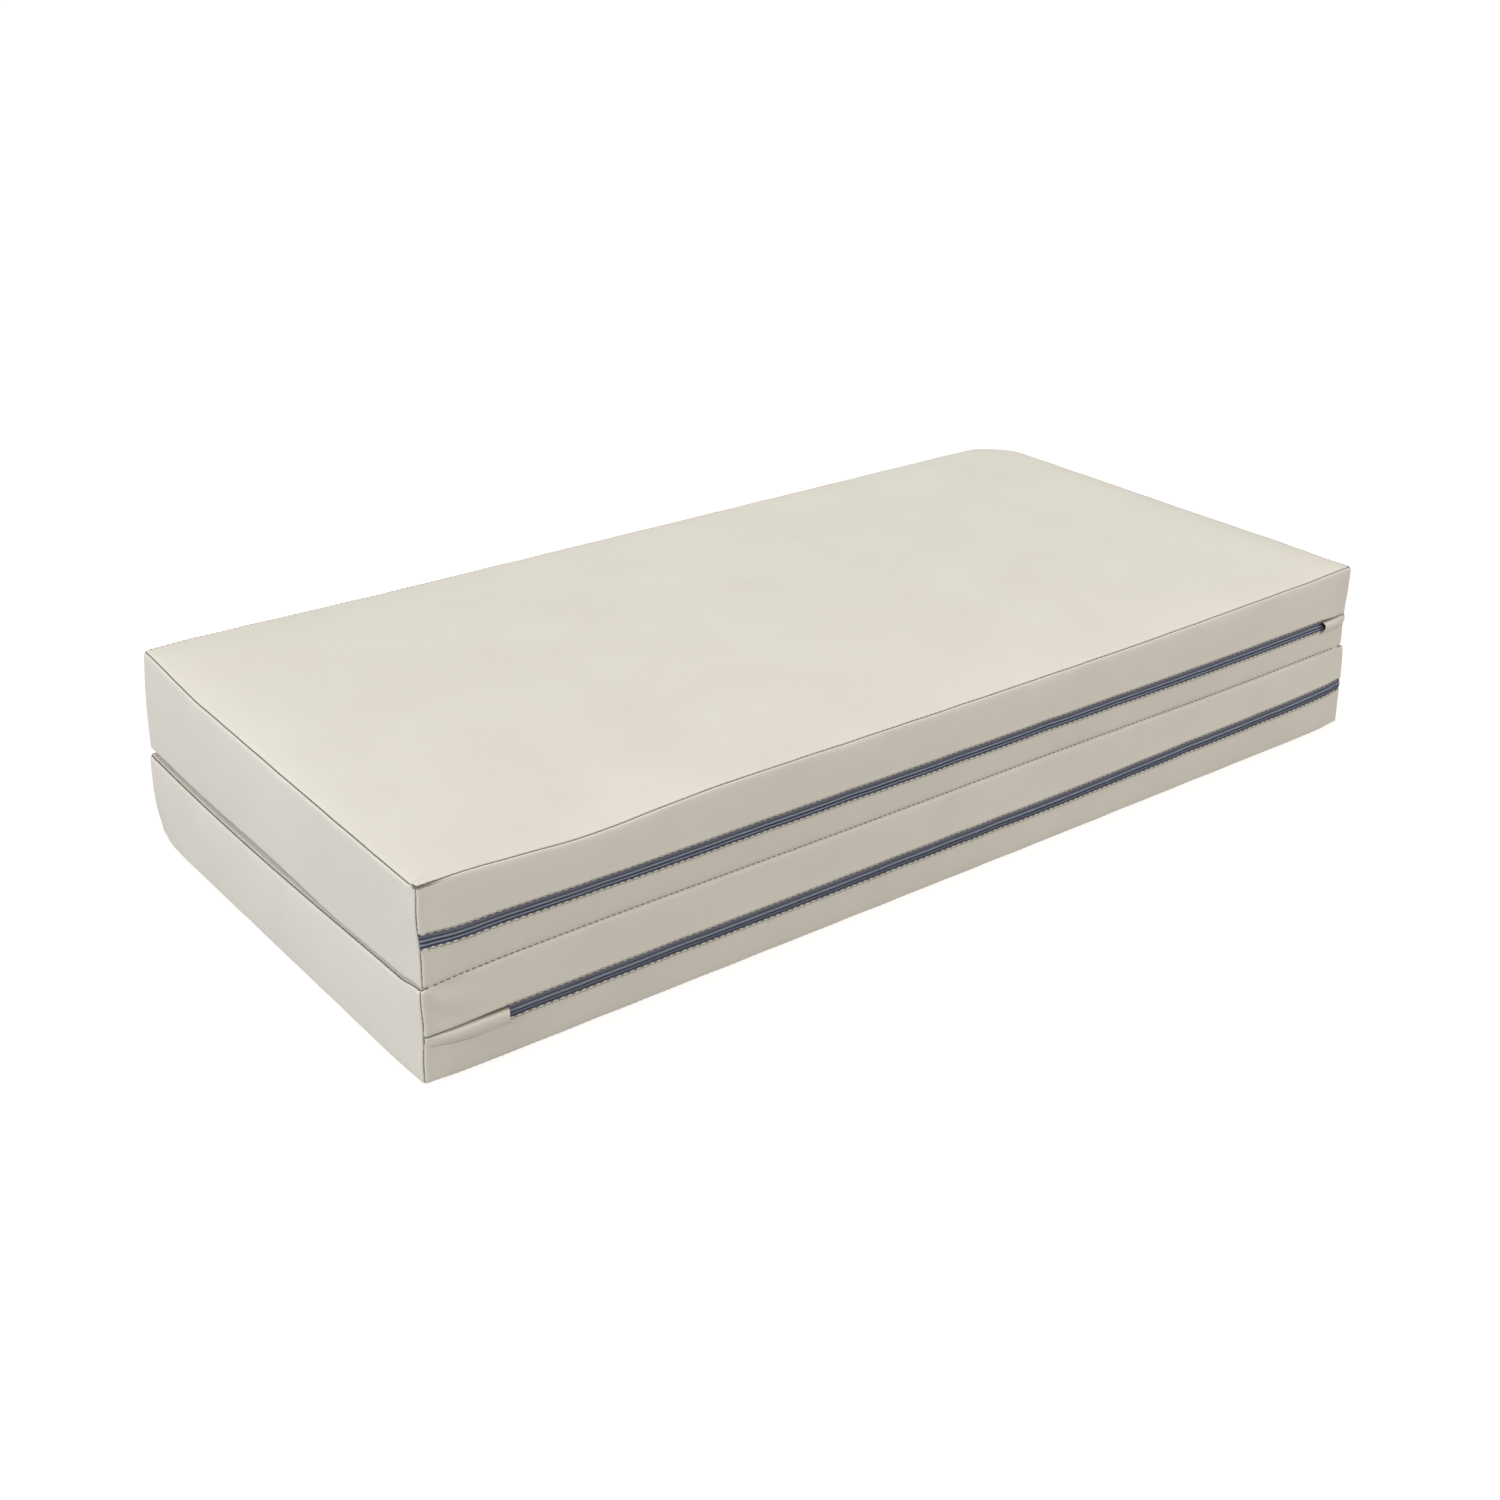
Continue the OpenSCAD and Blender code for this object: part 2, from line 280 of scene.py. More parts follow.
def block(inset, cells_x, cells_y, rows):
    """The section's closed shape drawn in by inset, with each row drawn in further by its own first value.

    A row is that value and its height. The first and the last one are the whole lower and upper face."""
    rim_x, rim_y = np.linspace(-1, 1, cells_x + 1), np.linspace(-1, 1, cells_y + 1)
    grid_x, grid_y = np.meshgrid(rim_x, rim_y)
    size = grid_x.size
    index = np.arange(size).reshape(cells_y + 1, cells_x + 1)
    loop = edge_loop(index)

    def level(extra, h):
        reach = inset + extra
        x, y = round_corners(grid_x.ravel() * (half_x - reach), grid_y.ravel() * (half_y - reach))
        return np.column_stack([x, y + middle_y, np.full(size, h)])

    points = [level(rows[0][0], rows[0][1]), level(rows[-1][0], rows[-1][1])]
    points += [level(extra, h)[loop] for extra, h in rows[1:-1]]
    around = np.arange(len(loop))
    between = [2 * size + i * len(loop) + around for i in range(len(rows) - 2)]
    loops = [loop, *between, loop + size]
    faces = [grid_faces(cells_y + 1, cells_x + 1)[:, ::-1], grid_faces(cells_y + 1, cells_x + 1) + size]
    for below, above in zip(loops[:-1], loops[1:]):
        faces.append(np.column_stack([below, np.roll(below, -1), np.roll(above, -1), above]))
    return np.vstack(points), np.vstack(faces)


def swell(name, free_top):
    """How a closed cover, held at its seams, stands off its foam: a cloth simulation.

    The lower face lies on something and is held, and so is the upper one unless free_top is set.
    Returns the moves of the upper face, as a grid, and of the sides, as rows once round."""
    size, around = (CELLS_X + 1) * (CELLS_Y + 1), SEAM_CELLS[-1]
    rows = [(0, h) for h in np.linspace(0, section_height, CELLS_H + 1)]
    points, faces = block(0, CELLS_X, CELLS_Y, rows)
    # cloth is never quite even
    x, y, h = points.T
    uneven = np.column_stack([np.sin(y / 31 + h / 17), np.sin(x / 43 - h / 23), np.sin(x / 57 + y / 39)])
    start = points + 0.5 * uneven
    mesh = bpy.data.meshes.new(name)
    mesh.from_pydata((start * MM).tolist(), [], faces.tolist())
    obj = bpy.data.objects.new(name, mesh)
    scene = bpy.context.scene
    scene.collection.objects.link(obj)
    upper_face = np.arange(size, 2 * size).reshape(CELLS_Y + 1, CELLS_X + 1)
    rim = edge_loop(upper_face)
    upright = (2 * size + np.arange(CELLS_H - 1)[:, None] * around + SEAM_CELLS[:-1]).ravel()
    held = obj.vertex_groups.new(name="held")
    for fixed in (np.arange(size), rim if free_top else upper_face.ravel(), upright):
        held.add(fixed.tolist(), 1.0, "REPLACE")
    cloth = obj.modifiers.new("cloth", "CLOTH")
    settings = cloth.settings
    settings.quality, settings.mass, settings.air_damping = 6, 0.3, 3
    settings.tension_stiffness = settings.compression_stiffness = 15
    settings.shear_stiffness, settings.bending_stiffness = 8, 0.6
    settings.use_pressure, settings.uniform_pressure_force = True, 4
    settings.shrink_min = -0.006
    settings.vertex_group_mass = "held"
    settings.effector_weights.gravity = 0
    for step in range(SWELL_STEPS):
        scene.frame_set(step + 1)
    swollen = obj.evaluated_get(bpy.context.evaluated_depsgraph_get()).to_mesh()
    after = np.empty(3 * len(points))
    swollen.vertices.foreach_get("co", after)
    moved = after.reshape(-1, 3) / MM - points
    bpy.data.objects.remove(obj)
    scene.frame_set(1)
    far = np.linalg.norm(moved, axis=1, keepdims=True)
    moved = moved * SWELL_CAP / (SWELL_CAP + far)
    moved[np.concatenate([rim, upright])] = 0
    still = np.zeros((1, around, 3))
    sides = np.concatenate([still, moved[2 * size:].reshape(CELLS_H - 1, around, 3), still])
    return moved[size:2 * size].reshape(CELLS_Y + 1, CELLS_X + 1, 3), sides


def interpolated(values, across, up):
    """Even values between those of a grid, by cubic B-splines, at columns across and rows up.

    The grid has one extra row and column all round."""
    column_before = np.clip(across.astype(int), 0, values.shape[1] - 4)
    row_before = np.clip(up.astype(int), 0, values.shape[0] - 4)

    def shares(t):
        return ((1 - t) ** 3 / 6, (3 * t ** 3 - 6 * t ** 2 + 4) / 6,
                (-3 * t ** 3 + 3 * t ** 2 + 3 * t + 1) / 6, t ** 3 / 6)

    total = np.zeros((len(across), 3))
    for i, row_share in enumerate(shares(up - row_before)):
        for j, column_share in enumerate(shares(across - column_before)):
            total += (row_share * column_share)[:, None] * values[row_before + i, column_before + j]
    return total


def mirrored(values, axis):
    """The grid with one more line at both ends, so that its end lines stay at 0."""
    first, last = np.take(values, [1], axis), np.take(values, [-2], axis)
    return np.concatenate([-first, values, -last], axis)


# ---------------------------------------------------------------- how the sections have settled

# How far the cloth is drawn in along the hinge, above and below it
HINGE_FURROW = {1: 0.4, -1: -1.7}


def front_line(x):
    """Where the front face lies: straight, and round towards the corners."""
    radius = CORNER_R[1, -1]
    past = np.clip(abs(x) - (half_x - radius), 0, 0.99 * radius)
    return front_y + radius - np.sqrt(radius ** 2 - past ** 2)


def hinge_rise(x):
    """How far the sewn fold line lies above its straight height, in millimetres."""
    a = x / half_x
    ends = 2.3 * smooth((a - 0.6) / 0.4) - 4.5 * fade(x + half_x, 45)
    return 0.6 + 1.4 * a + 0.5 * np.sin(x / 95) + ends


class Section:
    """One cover with its foam. up is 1 for the upper section and -1 for the lower one."""

    # How far each end stands out: at the face where the sections meet, and at the outer face
    END_SHIFT = {1: {-1: (1.0, 2.0), 1: (1.5, 1.5)}, -1: {-1: (3.0, 6.0), 1: (4.5, 11.0)}}

    def __init__(self, name, up):
        self.name, self.up = name, up
        self.body, self.foam = f"{name}_section", f"{name}_foam_core_block"
        self.face_z = hinge_z + up * fold_gap
        x, y, z = (value / MM for value in joints[f"{name}_pull_flip"]["pos_m"])
        if up > 0:
            y, z = self.turned(y, z, -tilt)
        self.slider_x, self.pull_y = x, y
        self.zip_h = (z - self.face_z) * up
        low, high = span(f"{name}_zip_garage")
        self.mouth_x = high[0] if up < 0 else low[0]
        self.side = -1 if up < 0 else 1
        face, sides = swell(f"{name}_swell", up > 0)
        self.face_moves = mirrored(mirrored(face, 0), 1)
        once_round = np.concatenate([sides[:, -1:], sides, sides[:, :2]], 1)
        self.side_moves = mirrored(once_round, 0)

    def swollen(self, x, y, h):
        """How far the simulated cover moved there: its sides, or its outer face."""
        u = np.clip((x / half_x + 1) / 2, 0, 1)
        v = np.clip(((y - middle_y) / half_y + 1) / 2, 0, 1)
        t = np.clip(h / section_height, 0, 1)
        gaps = np.array([y - front_y, half_x - x, rear_y - y, x + half_x])
        nearest = gaps.argmin(axis=0)
        past_seam = (u * CELLS_X, v * CELLS_Y, (1 - u) * CELLS_X, (1 - v) * CELLS_Y)
        along = np.choose(nearest, [seam + past for seam, past in zip(SEAM_CELLS, past_seam)])
        seam_gap = abs(along[:, None] - SEAM_CELLS).min(axis=1)
        # the left end's band is the tightest
        share = np.where(nearest == 3, 0.4, 1.0) * smooth(seam_gap / 1.5)
        sides = interpolated(self.side_moves, along, t * CELLS_H) * share[:, None]
        face = interpolated(self.face_moves, u * CELLS_X, v * CELLS_Y) * smooth(t)[:, None]
        share = smooth(np.minimum(h, section_height - h) / 6) * near(gaps.min(axis=0) - 6, 6)
        return sides * share[:, None] + face * (1 - share[:, None])

    def closing(self, x):
        """How far the zip's opening has narrowed under the garage: 0 at its mouth, 1 at the corner."""
        return smooth((x - self.mouth_x) * self.side / abs(self.mouth_x - self.side * seam_x))

    @staticmethod
    def turned(y, z, angle):
        dy, dz = y - hinge_y, z - hinge_z
        return (hinge_y + dy * math.cos(angle) - dz * math.sin(angle),
                hinge_z + dy * math.sin(angle) + dz * math.cos(angle))

    def rise(self, x, y, t):
        """How far the foam and cloth at that place stand above their flat height.

        t runs from 0 at the inner face, where the sections meet, to 1 at the outer face. The moves
        of both faces and of the zip, in the middle, are joined by one curve."""
        a, b = np.clip(x / half_x, -1, 1), np.clip((y - middle_y) / half_y, -1, 1)
        from_front, from_rear = y - front_y, rear_y - y
        from_left, from_right = x + half_x, half_x - x
        to_rear = smooth((b + 1) / 2)
        if self.up > 0:
            inner = hinge_rise(x) + (-7.5 - hinge_rise(x)) * to_rear
            inner = inner - self.hanging(b) * near(from_left, 75) * smooth(from_front / 45)
            outer = (3.2 * (1 - a ** 2) * (1 - b ** 2)  # the crown
                     - 4.2 * (1 - a ** 2) ** 1.5 * fade(from_front, 130)  # the front edge sags
                     - 0.8 * smooth(a) * fade(from_front, 130)
                     + 2.5 * smooth((a - 0.8) / 0.2) * (1 - b ** 2) * (0.6 - 0.4 * b)  # right end
                     + 2.4 * smooth((a - 0.85) / 0.15) * bell(b + 0.8, 0.4)  # and its front corner
                     + 2.5 * near(from_left, 300) * to_rear ** 2  # rear left corner
                     - self.rolled(x, b, from_front))
            middle = -2.6 * (1 - a ** 4) - 1.2 * bell(x + 560, 26) - 1.2 * (1 - a ** 6)
        else:
            left_drop = 5.5 + 15.5 * (b + 1) - 8 * (b + 1) ** 2
            inner = (hinge_rise(x) * fade(from_front, 60)
                     - left_drop * near(from_left, 75) * smooth(from_front / 40)
                     - 7 * near(from_right, 70) * smooth(from_front / 60)  # right end
                     - 8 * near(from_rear, 70) * smooth((half_x - abs(x)) / 80))  # rear edge
            edge = np.minimum(np.minimum(from_front, from_rear), half_x - abs(x))
            outer = (1.2 + 1.4 * smooth(a)) * near(edge, 32)
            # the zip rises towards the right end
            middle = 2.2 * bell(x - 330, 170) + 9 * np.clip((x - 150) / 450, 0, 1) ** 2 - 1.2 * (1 - a ** 6)
        knot = self.zip_h / section_height
        even = inner * (1 - t) + outer * t
        hump = t * (1 - t) / (knot * (1 - knot)) * fade(np.clip(from_front, 0, None), 80)
        return even + (middle - inner * (1 - knot) - outer * knot) * hump

    @staticmethod
    def rolled(x, b, from_front):
        """How far the upper cover's outer edge has rolled down, at the front and at the left end."""
        front = 3.6 * near(x - 200, 380) + 1.8 * bell(x + half_x, 60) + 7.8 * bell(x + 435, 95)
        front = front * fade(from_front, 90)
        left = 8.3 * smooth((b + 1) / 0.05) * near(b - 0.5, 0.5) * fade(x + half_x, 70)
        return (front ** 4 + left ** 4) ** 0.25

    @staticmethod
    def hanging(b):
        """How far the upper cover hangs down into the gap at the left end."""
        return (4.2 + 3.8 * bell(b + 0.45, 0.3)) * (1 - 0.6 * smooth((b - 0.5) / 0.5))

    def settle(self, points):
        """The settled places of points given on the flat section."""
        x, y, h = np.array(points, float).T
        move_x, move_y, move_h = self.swollen(x, y, h).T
        t = h / section_height
        a, b = x / half_x, (y - middle_y) / half_y
        full = np.clip(4 * t * (1 - t), 0, 1)
        # the sides bulge half way up, and less towards their seams
        near_front = near(y - front_y, 40)
        new_x = x + np.where(x > 0, 2.6, -0.8) * near(half_x - abs(x), 60) * full * (1 - b ** 4)
        new_y = y + near(rear_y - y, 60) * 2.6 * full * (1 - a ** 6)
        new_y = new_y - near_front * 0.7 * full * (1 - a ** 8)
        furrow = HINGE_FURROW[self.up] * smooth((x + half_x) / 200)
        new_y = new_y + near_front * furrow * fade(h, 14)
        # soft creases that fan out below the near end of the hinge
        if self.up < 0:
            fan = 1.7 * np.sin(8 * np.arctan2(h, x + half_x + 2))
            new_y = new_y + near_front * fan * bell(np.hypot(x + half_x, h) - 34, 16)
        # the ends stand out, most of all low down
        for side, (at_face, at_outside) in self.END_SHIFT[self.up].items():
            near_end = near(half_x - side * x, 220)
            new_x = new_x + side * near_end * (at_face + (at_outside - at_face) * t)
            if side < 0:
                new_x = new_x - 3.8 * near_end * smooth((b + 1) / 2) * (1 - (0.85 + 0.25 * self.up) * t ** 2)
        new_h = h + self.up * self.rise(x, y, t)
        # loose cloth along the seams
        edge = np.minimum(np.minimum(y - front_y, rear_y - y), half_x - abs(x))
        along = np.where(half_x - abs(x) < 20, y, x)
        wave = 0.12 * (np.sin(along / 15.4 + 1) + np.sin(along / 9.7 + self.up))
        new_h = new_h + wave * fade(np.clip(edge, 0, None), 16) * t ** 3
        # wavy upright seams
        for side in (-1, 1):
            reach = bell(x - side * seam_x, 14) * near_front
            new_x = new_x + reach * 1.1 * np.sin(h / 14 + side + self.up) * full
        # soft corners
        for (side_x, side_y), drawn_in in self.corners().items():
            gap = (x - side_x * half_x) ** 2 + (y - middle_y - side_y * half_y) ** 2
            reach = fade(gap + (h - section_height) ** 2, 30 ** 2)
            new_x = new_x - side_x * drawn_in * reach
            new_y = new_y - side_y * drawn_in * reach
            new_h = new_h - drawn_in * reach
        return np.column_stack([new_x + move_x, new_y + move_y, new_h + move_h])

    def corners(self):
        """How far each outer corner has been rounded off."""
        if self.up > 0:
            return {(-1, -1): 1.4, (1, -1): -1.2, (-1, 1): 1.0, (1, 1): 4.0}
        return {(-1, -1): 1.2, (1, -1): 2.0, (-1, 1): 4.0, (1, 1): 6.0}

    def place(self, points):
        """The points settled, and turned with the section, in the part's frame in millimetres."""
        x, y, h = self.settle(points).T
        z = self.face_z + self.up * h
        if self.up > 0:
            y, z = self.turned(y, z, tilt)
        return np.column_stack([x, y, z])


# ---------------------------------------------------------------- mesh making

def point_normals(points, faces):
    """Even normals at the points. A triangle is a quad whose last corner is repeated."""
    across = points[faces[:, 2]] - points[faces[:, 0]]
    other = points[faces[:, 3]] - points[faces[:, 1]]
    each = np.cross(across, other)
    total = np.zeros_like(points)
    for corner in range(4):
        np.add.at(total, faces[:, corner], each)
    return total / np.maximum(np.linalg.norm(total, axis=1, keepdims=True), 1e-12)


def thicken(points, faces, thickness):
    """The closed solid between a surface and the same surface moved in by the thickness."""
    count = len(points)
    inner = points - thickness * point_normals(points, faces)
    starts = faces.ravel()
    ends = np.roll(faces, -1, axis=1).ravel()
    keep = starts != ends
    starts, ends = starts[keep], ends[keep]
    reverse = np.isin(starts * count + ends, ends * count + starts)
    rim_a, rim_b = starts[~reverse], ends[~reverse]
    rim = np.column_stack([rim_b, rim_a, rim_a + count, rim_b + count])
    return np.vstack([points, inner]), np.vstack([faces, faces[:, ::-1] + count, rim])


def make(name, points, faces, look, smooth_angle=40):
    """A mesh object from points in the part's frame in millimetres."""
    mesh = bpy.data.meshes.new(name)
    corners = []
    for face in faces.tolist():
        corners.append([c for i, c in enumerate(face) if c != face[i - 1]])
    mesh.from_pydata((points * MM).tolist(), [], corners)
    mesh.shade_smooth()
    mesh.set_sharp_from_angle(angle=math.radians(smooth_angle))
    mesh.materials.append(look)
    obj = bpy.data.objects.new(name, mesh)
    bpy.context.scene.collection.objects.link(obj)
    return obj


KINDS = {"cover": "cloth", "foam": "block", "zip_tape": "weave", "zip_coil": "turns", "thread": "stitches",
         "zip_metal": "metal"}


def piece(name, section, points, faces, look, slot, thickness=None):
    """The piece that stands for a CAD node of a section, from points on the flat section."""
    points = section.place(points)
    if section.up < 0:
        faces = faces[:, ::-1]
    if thickness:
        points, faces = thicken(points, faces, thickness)
    obj = make(f"{name}_{KINDS[slot]}", points, faces, look)
    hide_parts(name)
    return obj


# ---------------------------------------------------------------- materials

def material(name, set_up):
    """A material whose nodes are set up by a function of its tree and its shader."""
    made = bpy.data.materials.new(name)
    made.use_nodes = True
    tree = made.node_tree
    set_up(tree, tree.nodes["Principled BSDF"])
    return made


def node(tree, kind, links=(), **values):
    """A shader node with its inputs set by name, and linked from other sockets."""
    made = tree.nodes.new(kind)
    for key, value in values.items():
        if key in made.inputs:
            made.inputs[key].default_value = value
        else:
            setattr(made, key, value)
    for key, socket in dict(links).items():
        tree.links.new(socket, made.inputs[key])
    return made


def set_shader(shader, **values):
    for key, value in values.items():
        shader.inputs[key.replace("_", " ")].default_value = value


def ramp(tree, factor, *stops):
    made = tree.nodes.new("ShaderNodeValToRGB")
    for extra in range(len(stops) - 2):
        made.color_ramp.elements.new(0.5)
    for element, (position, colour) in zip(made.color_ramp.elements, stops):
        element.position = position
        element.color = (*colour, 1)
    tree.links.new(factor, made.inputs["Fac"])
    return made.outputs["Color"]


def bump(tree, shader, height, distance, strength=1.0):
    made = node(tree, "ShaderNodeBump", {"Height": height}, Distance=distance, Strength=strength)
    tree.links.new(made.outputs["Normal"], shader.inputs["Normal"])


def on_object(tree):
    """The place on the object, which the textures follow."""
    return tree.nodes.new("ShaderNodeTexCoord").outputs["Object"]


def noise(tree, place, scale, detail):
    return node(tree, "ShaderNodeTexNoise", {"Vector": place}, Scale=scale, Detail=detail).outputs["Fac"]


def stripes(tree, place, scale, direction):
    made = node(tree, "ShaderNodeTexWave", {"Vector": place}, Scale=scale, bands_direction=direction)
    return made.outputs["Fac"]


def cells_of(tree, place, scale):
    return node(tree, "ShaderNodeTexVoronoi", {"Vector": place}, Scale=scale).outputs["Distance"]


def between(tree, share, low, high):
    """A value from low, where the share is 0, to high, where it is 1."""
    made = node(tree, "ShaderNodeMapRange", {"Value": share})
    made.inputs["To Min"].default_value, made.inputs["To Max"].default_value = low, high
    return made.outputs["Result"]


def add(tree, one, other, share):
    """one + other * share."""
    made = node(tree, "ShaderNodeMath", {0: other, 2: one}, operation="MULTIPLY_ADD")
    made.inputs[1].default_value = share
    return made.outputs[0]


def mix_in_seam_shade(tree, shader, tone, painted_shade_colour):
    """The base colour: tone in the open, and a darker colour painted as shade where the mesh's seam attribute
    says so.
    """
    # the seam attribute holds how much painted shade lies at each point
    seam = node(tree, "ShaderNodeAttribute", attribute_name="seam").outputs["Fac"]
    mixed = tree.nodes.new("ShaderNodeMixRGB")
    tree.links.new(seam, mixed.inputs["Fac"])
    tree.links.new(tone, mixed.inputs["Color1"])
    mixed.inputs["Color2"].default_value = painted_shade_colour
    tree.links.new(mixed.outputs["Color"], shader.inputs["Base Color"])


def coated_cloth(tree, shader):
    """Smooth coated cloth: a faint grain and weave, soft mottling, and a darker line of painted shade in the
    seams, gaps and folds.
    """
    place = on_object(tree)
    mottle = add(tree, noise(tree, place, 9, 3), noise(tree, place, 70, 2), 0.25)
    tone = ramp(tree, mottle, (0.35, (0.735, 0.698, 0.618)), (0.85, (0.775, 0.738, 0.658)))
    # painted shade: this dark brown goes where the seam attribute marks seams, gaps, notches and folds
    mix_in_seam_shade(tree, shader, tone, (0.26, 0.23, 0.19, 1))
    height = add(tree, cells_of(tree, place, 620), stripes(tree, place, 520, "DIAGONAL"), 0.25)
    height = add(tree, height, noise(tree, place, 60, 3), 1.6)
    bump(tree, shader, height, 0.00006, 0.8)
    tree.links.new(between(tree, noise(tree, place, 25, 3), 0.44, 0.56), shader.inputs["Roughness"])
    set_shader(shader, Specular_IOR_Level=0.35, Sheen_Weight=0.08, Sheen_Roughness=0.4)


def zip_tape(tree, shader):
    """Woven tape with fine ribs across it, and painted shade beside the chain."""
    place = on_object(tree)
    weave = add(tree, stripes(tree, place, 330, "X"), stripes(tree, place, 420, "Z"), 0.8)
    tone = ramp(tree, weave, (0.2, (0.190, 0.190, 0.225)), (1.2, (0.340, 0.340, 0.385)))
    # painted shade: this dark navy goes beside the chain and under the folded edges, as the seam attribute
    # marks
    mix_in_seam_shade(tree, shader, tone, (0.038, 0.046, 0.085, 1))
    bump(tree, shader, weave, 0.00012)
    set_shader(shader, Roughness=0.85, Sheen_Weight=0.25)


def zip_coil(tree, shader):
    """Nylon coil, a little glossy, painted lighter than the tape partly as highlight, and darker along the
    middle as painted shade where the two halves lock.
    """
    place = on_object(tree)
    tone = ramp(tree, noise(tree, place, 240, 2), (0.3, (0.46, 0.53, 0.69)), (0.7, (0.57, 0.65, 0.81)))
    # painted shade: this dark navy goes along the coil's middle, where the heads lock
    mix_in_seam_shade(tree, shader, tone, (0.038, 0.046, 0.085, 1))
    bump(tree, shader, noise(tree, place, 900, 2), 0.00003)
    set_shader(shader, Roughness=0.42)


def painted_metal(tree, shader):
    """Black enamel, worn a little grey in places."""
    place = on_object(tree)
    wear = noise(tree, place, 420, 4)
    tone = ramp(tree, wear, (0.45, (0.012, 0.012, 0.015)), (0.75, (0.045, 0.045, 0.052)))
    tree.links.new(tone, shader.inputs["Base Color"])
    bump(tree, shader, wear, 0.00004)
    set_shader(shader, Roughness=0.32, Coat_Weight=0.4, Coat_Roughness=0.15)


def sewing_thread(tree, shader):
    """Twisted polyester thread, dark brown: partly painted shade, for the needle holes it sinks into."""
    place = on_object(tree)
    twist = stripes(tree, place, 900, "DIAGONAL")
    # painted shade: the thread is far darker than the cloth, for the shade of its needle holes
    tone = ramp(tree, twist, (0.0, (0.13, 0.11, 0.085)), (1.0, (0.22, 0.19, 0.155)))
    tree.links.new(tone, shader.inputs["Base Color"])
    bump(tree, shader, twist, 0.00008)
    set_shader(shader, Roughness=0.7, Sheen_Weight=0.2)


def foam(tree, shader):
    """Open-cell foam."""
    place = on_object(tree)
    cells = cells_of(tree, place, 700)
    uneven = add(tree, cells, noise(tree, place, 30, 3), 0.3)
    tone = ramp(tree, uneven, (0.2, (0.74, 0.66, 0.42)), (0.8, (0.88, 0.82, 0.58)))
    tree.links.new(tone, shader.inputs["Base Color"])
    bump(tree, shader, cells, 0.0004)
    set_shader(shader, Roughness=0.95)


COVER_LOOK = material("coated_cloth", coated_cloth)
TAPE_LOOK = material("zip_tape", zip_tape)
COIL_LOOK = material("zip_coil", zip_coil)
METAL_LOOK = material("painted_metal", painted_metal)
THREAD_LOOK = material("sewing_thread", sewing_thread)
FOAM_LOOK = material("foam", foam)


# ---------------------------------------------------------------- covers

# One row of points along a band: height, outward, shares of the puckers of a panel seam and of the
# zip, share of the narrowing under the garage, and how much painted shade the row gets in a seam
Row = namedtuple("Row", "h out seam zip close shade")

stitch_count = round(perimeter / (STITCH_COLUMNS * column))
seam_pitch = perimeter / stitch_count


def pucker(s):
    """-1 where the needle went through a panel seam, and 1 half way along a stitch."""
    return -np.cos(2 * np.pi * s / seam_pitch)


def lip_pucker(x):
    """0 where the needle went through the folded edge beside a zip, and 1 half way along a stitch."""
    return np.sin(np.pi * x / ZIP_PITCH) ** 2


def paint_seam_shade(obj, shade):
    """Stores how much painted shade each point gets in seams, gaps, notches and folds, for the material's
    base colour.
    """
    shade = np.tile(shade, len(obj.data.vertices) // len(shade))
    obj.data.attributes.new("seam", "FLOAT", "POINT").data.foreach_set("value", shade.astype(np.float32))


def panel(section, name, outer):
    """One large panel: a finely sewn rim, then a wider even grid."""
    cells_x, cells_y = PANEL_CELLS
    fine_x = np.linspace(-1, 1, cells_x * COLUMNS_PER_CELL + 1)[:-1]
    fine_y = np.linspace(-1, 1, cells_y * COLUMNS_PER_CELL + 1)[:-1]
    rim_x = np.concatenate([fine_x, np.ones_like(fine_y), -fine_x, -np.ones_like(fine_y)])
    rim_y = np.concatenate([-np.ones_like(fine_x), fine_y, np.ones_like(fine_x), -fine_y])
    x, y = round_corners(rim_x * half_x, rim_y * half_y)
    s = lengths(x, y) - front_corner
    rows = curve(PANEL_EDGE, 2)
    rims, shade = [], []
    for inset, down in rows:
        px, py = round_corners(rim_x * (half_x + inset), rim_y * (half_y + inset))
        weight = bell(inset + 3.4, 1.3)
        depth = down - 0.22 * weight * pucker(s)
        # the panel is pinched at the near left corner
        pinch = np.exp(-((px + half_x) / 18) ** 2 - ((py + half_y) / 9) ** 2)
        depth = depth + pinch * (0.9 * weight - 0.7 * bell(inset + 6, 3))
        rims.append(np.column_stack([px, py + middle_y, section_height - depth if outer else depth]))
        # painted shade along the seam's groove
        shade.append(np.full(len(s), 0.85 * bell(inset + 2.7, 0.6)))
    width = len(s)
    faces = [grid_faces(len(rows), width, closed=True)]
    inset = PANEL_BORDER - PANEL_EDGE[-1][0]
    grid_x, grid_y = np.meshgrid(np.linspace(-1, 1, cells_x + 1) * (half_x - inset),
                                 np.linspace(-1, 1, cells_y + 1) * (half_y - inset))
    level = section_height if outer else 0
    field = np.column_stack([grid_x.ravel(), grid_y.ravel() + middle_y, np.full(grid_x.size, level)])
    start = len(rows) * width
    index = start + np.arange(len(field)).reshape(cells_y + 1, cells_x + 1)
    faces.append(grid_faces(cells_y + 1, cells_x + 1) + start)
    loop = edge_loop(index)
    # triangles between the fine rim and the wide grid
    last = (len(rows) - 1) * width
    for k in range(COLUMNS_PER_CELL):
        cell = np.arange(len(loop))
        here = last + cell * COLUMNS_PER_CELL + k
        there = last + (cell * COLUMNS_PER_CELL + k + 1) % width
        corner = loop if k < COLUMNS_PER_CELL // 2 else np.roll(loop, -1)
        faces.append(np.column_stack([here, there, corner, corner]))
    split = last + np.arange(len(loop)) * COLUMNS_PER_CELL + COLUMNS_PER_CELL // 2
    faces.append(np.column_stack([split, np.roll(loop, -1), loop, loop]))
    faces = np.vstack(faces)
    if not outer:
        faces = faces[:, ::-1]
    points = np.vstack(rims + [field])
    obj = piece(name, section, points, faces, COVER_LOOK, "cover", CLOTH)
    paint_seam_shade(obj, np.concatenate(shade + [np.zeros(len(field))]))
    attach(obj, section.body)


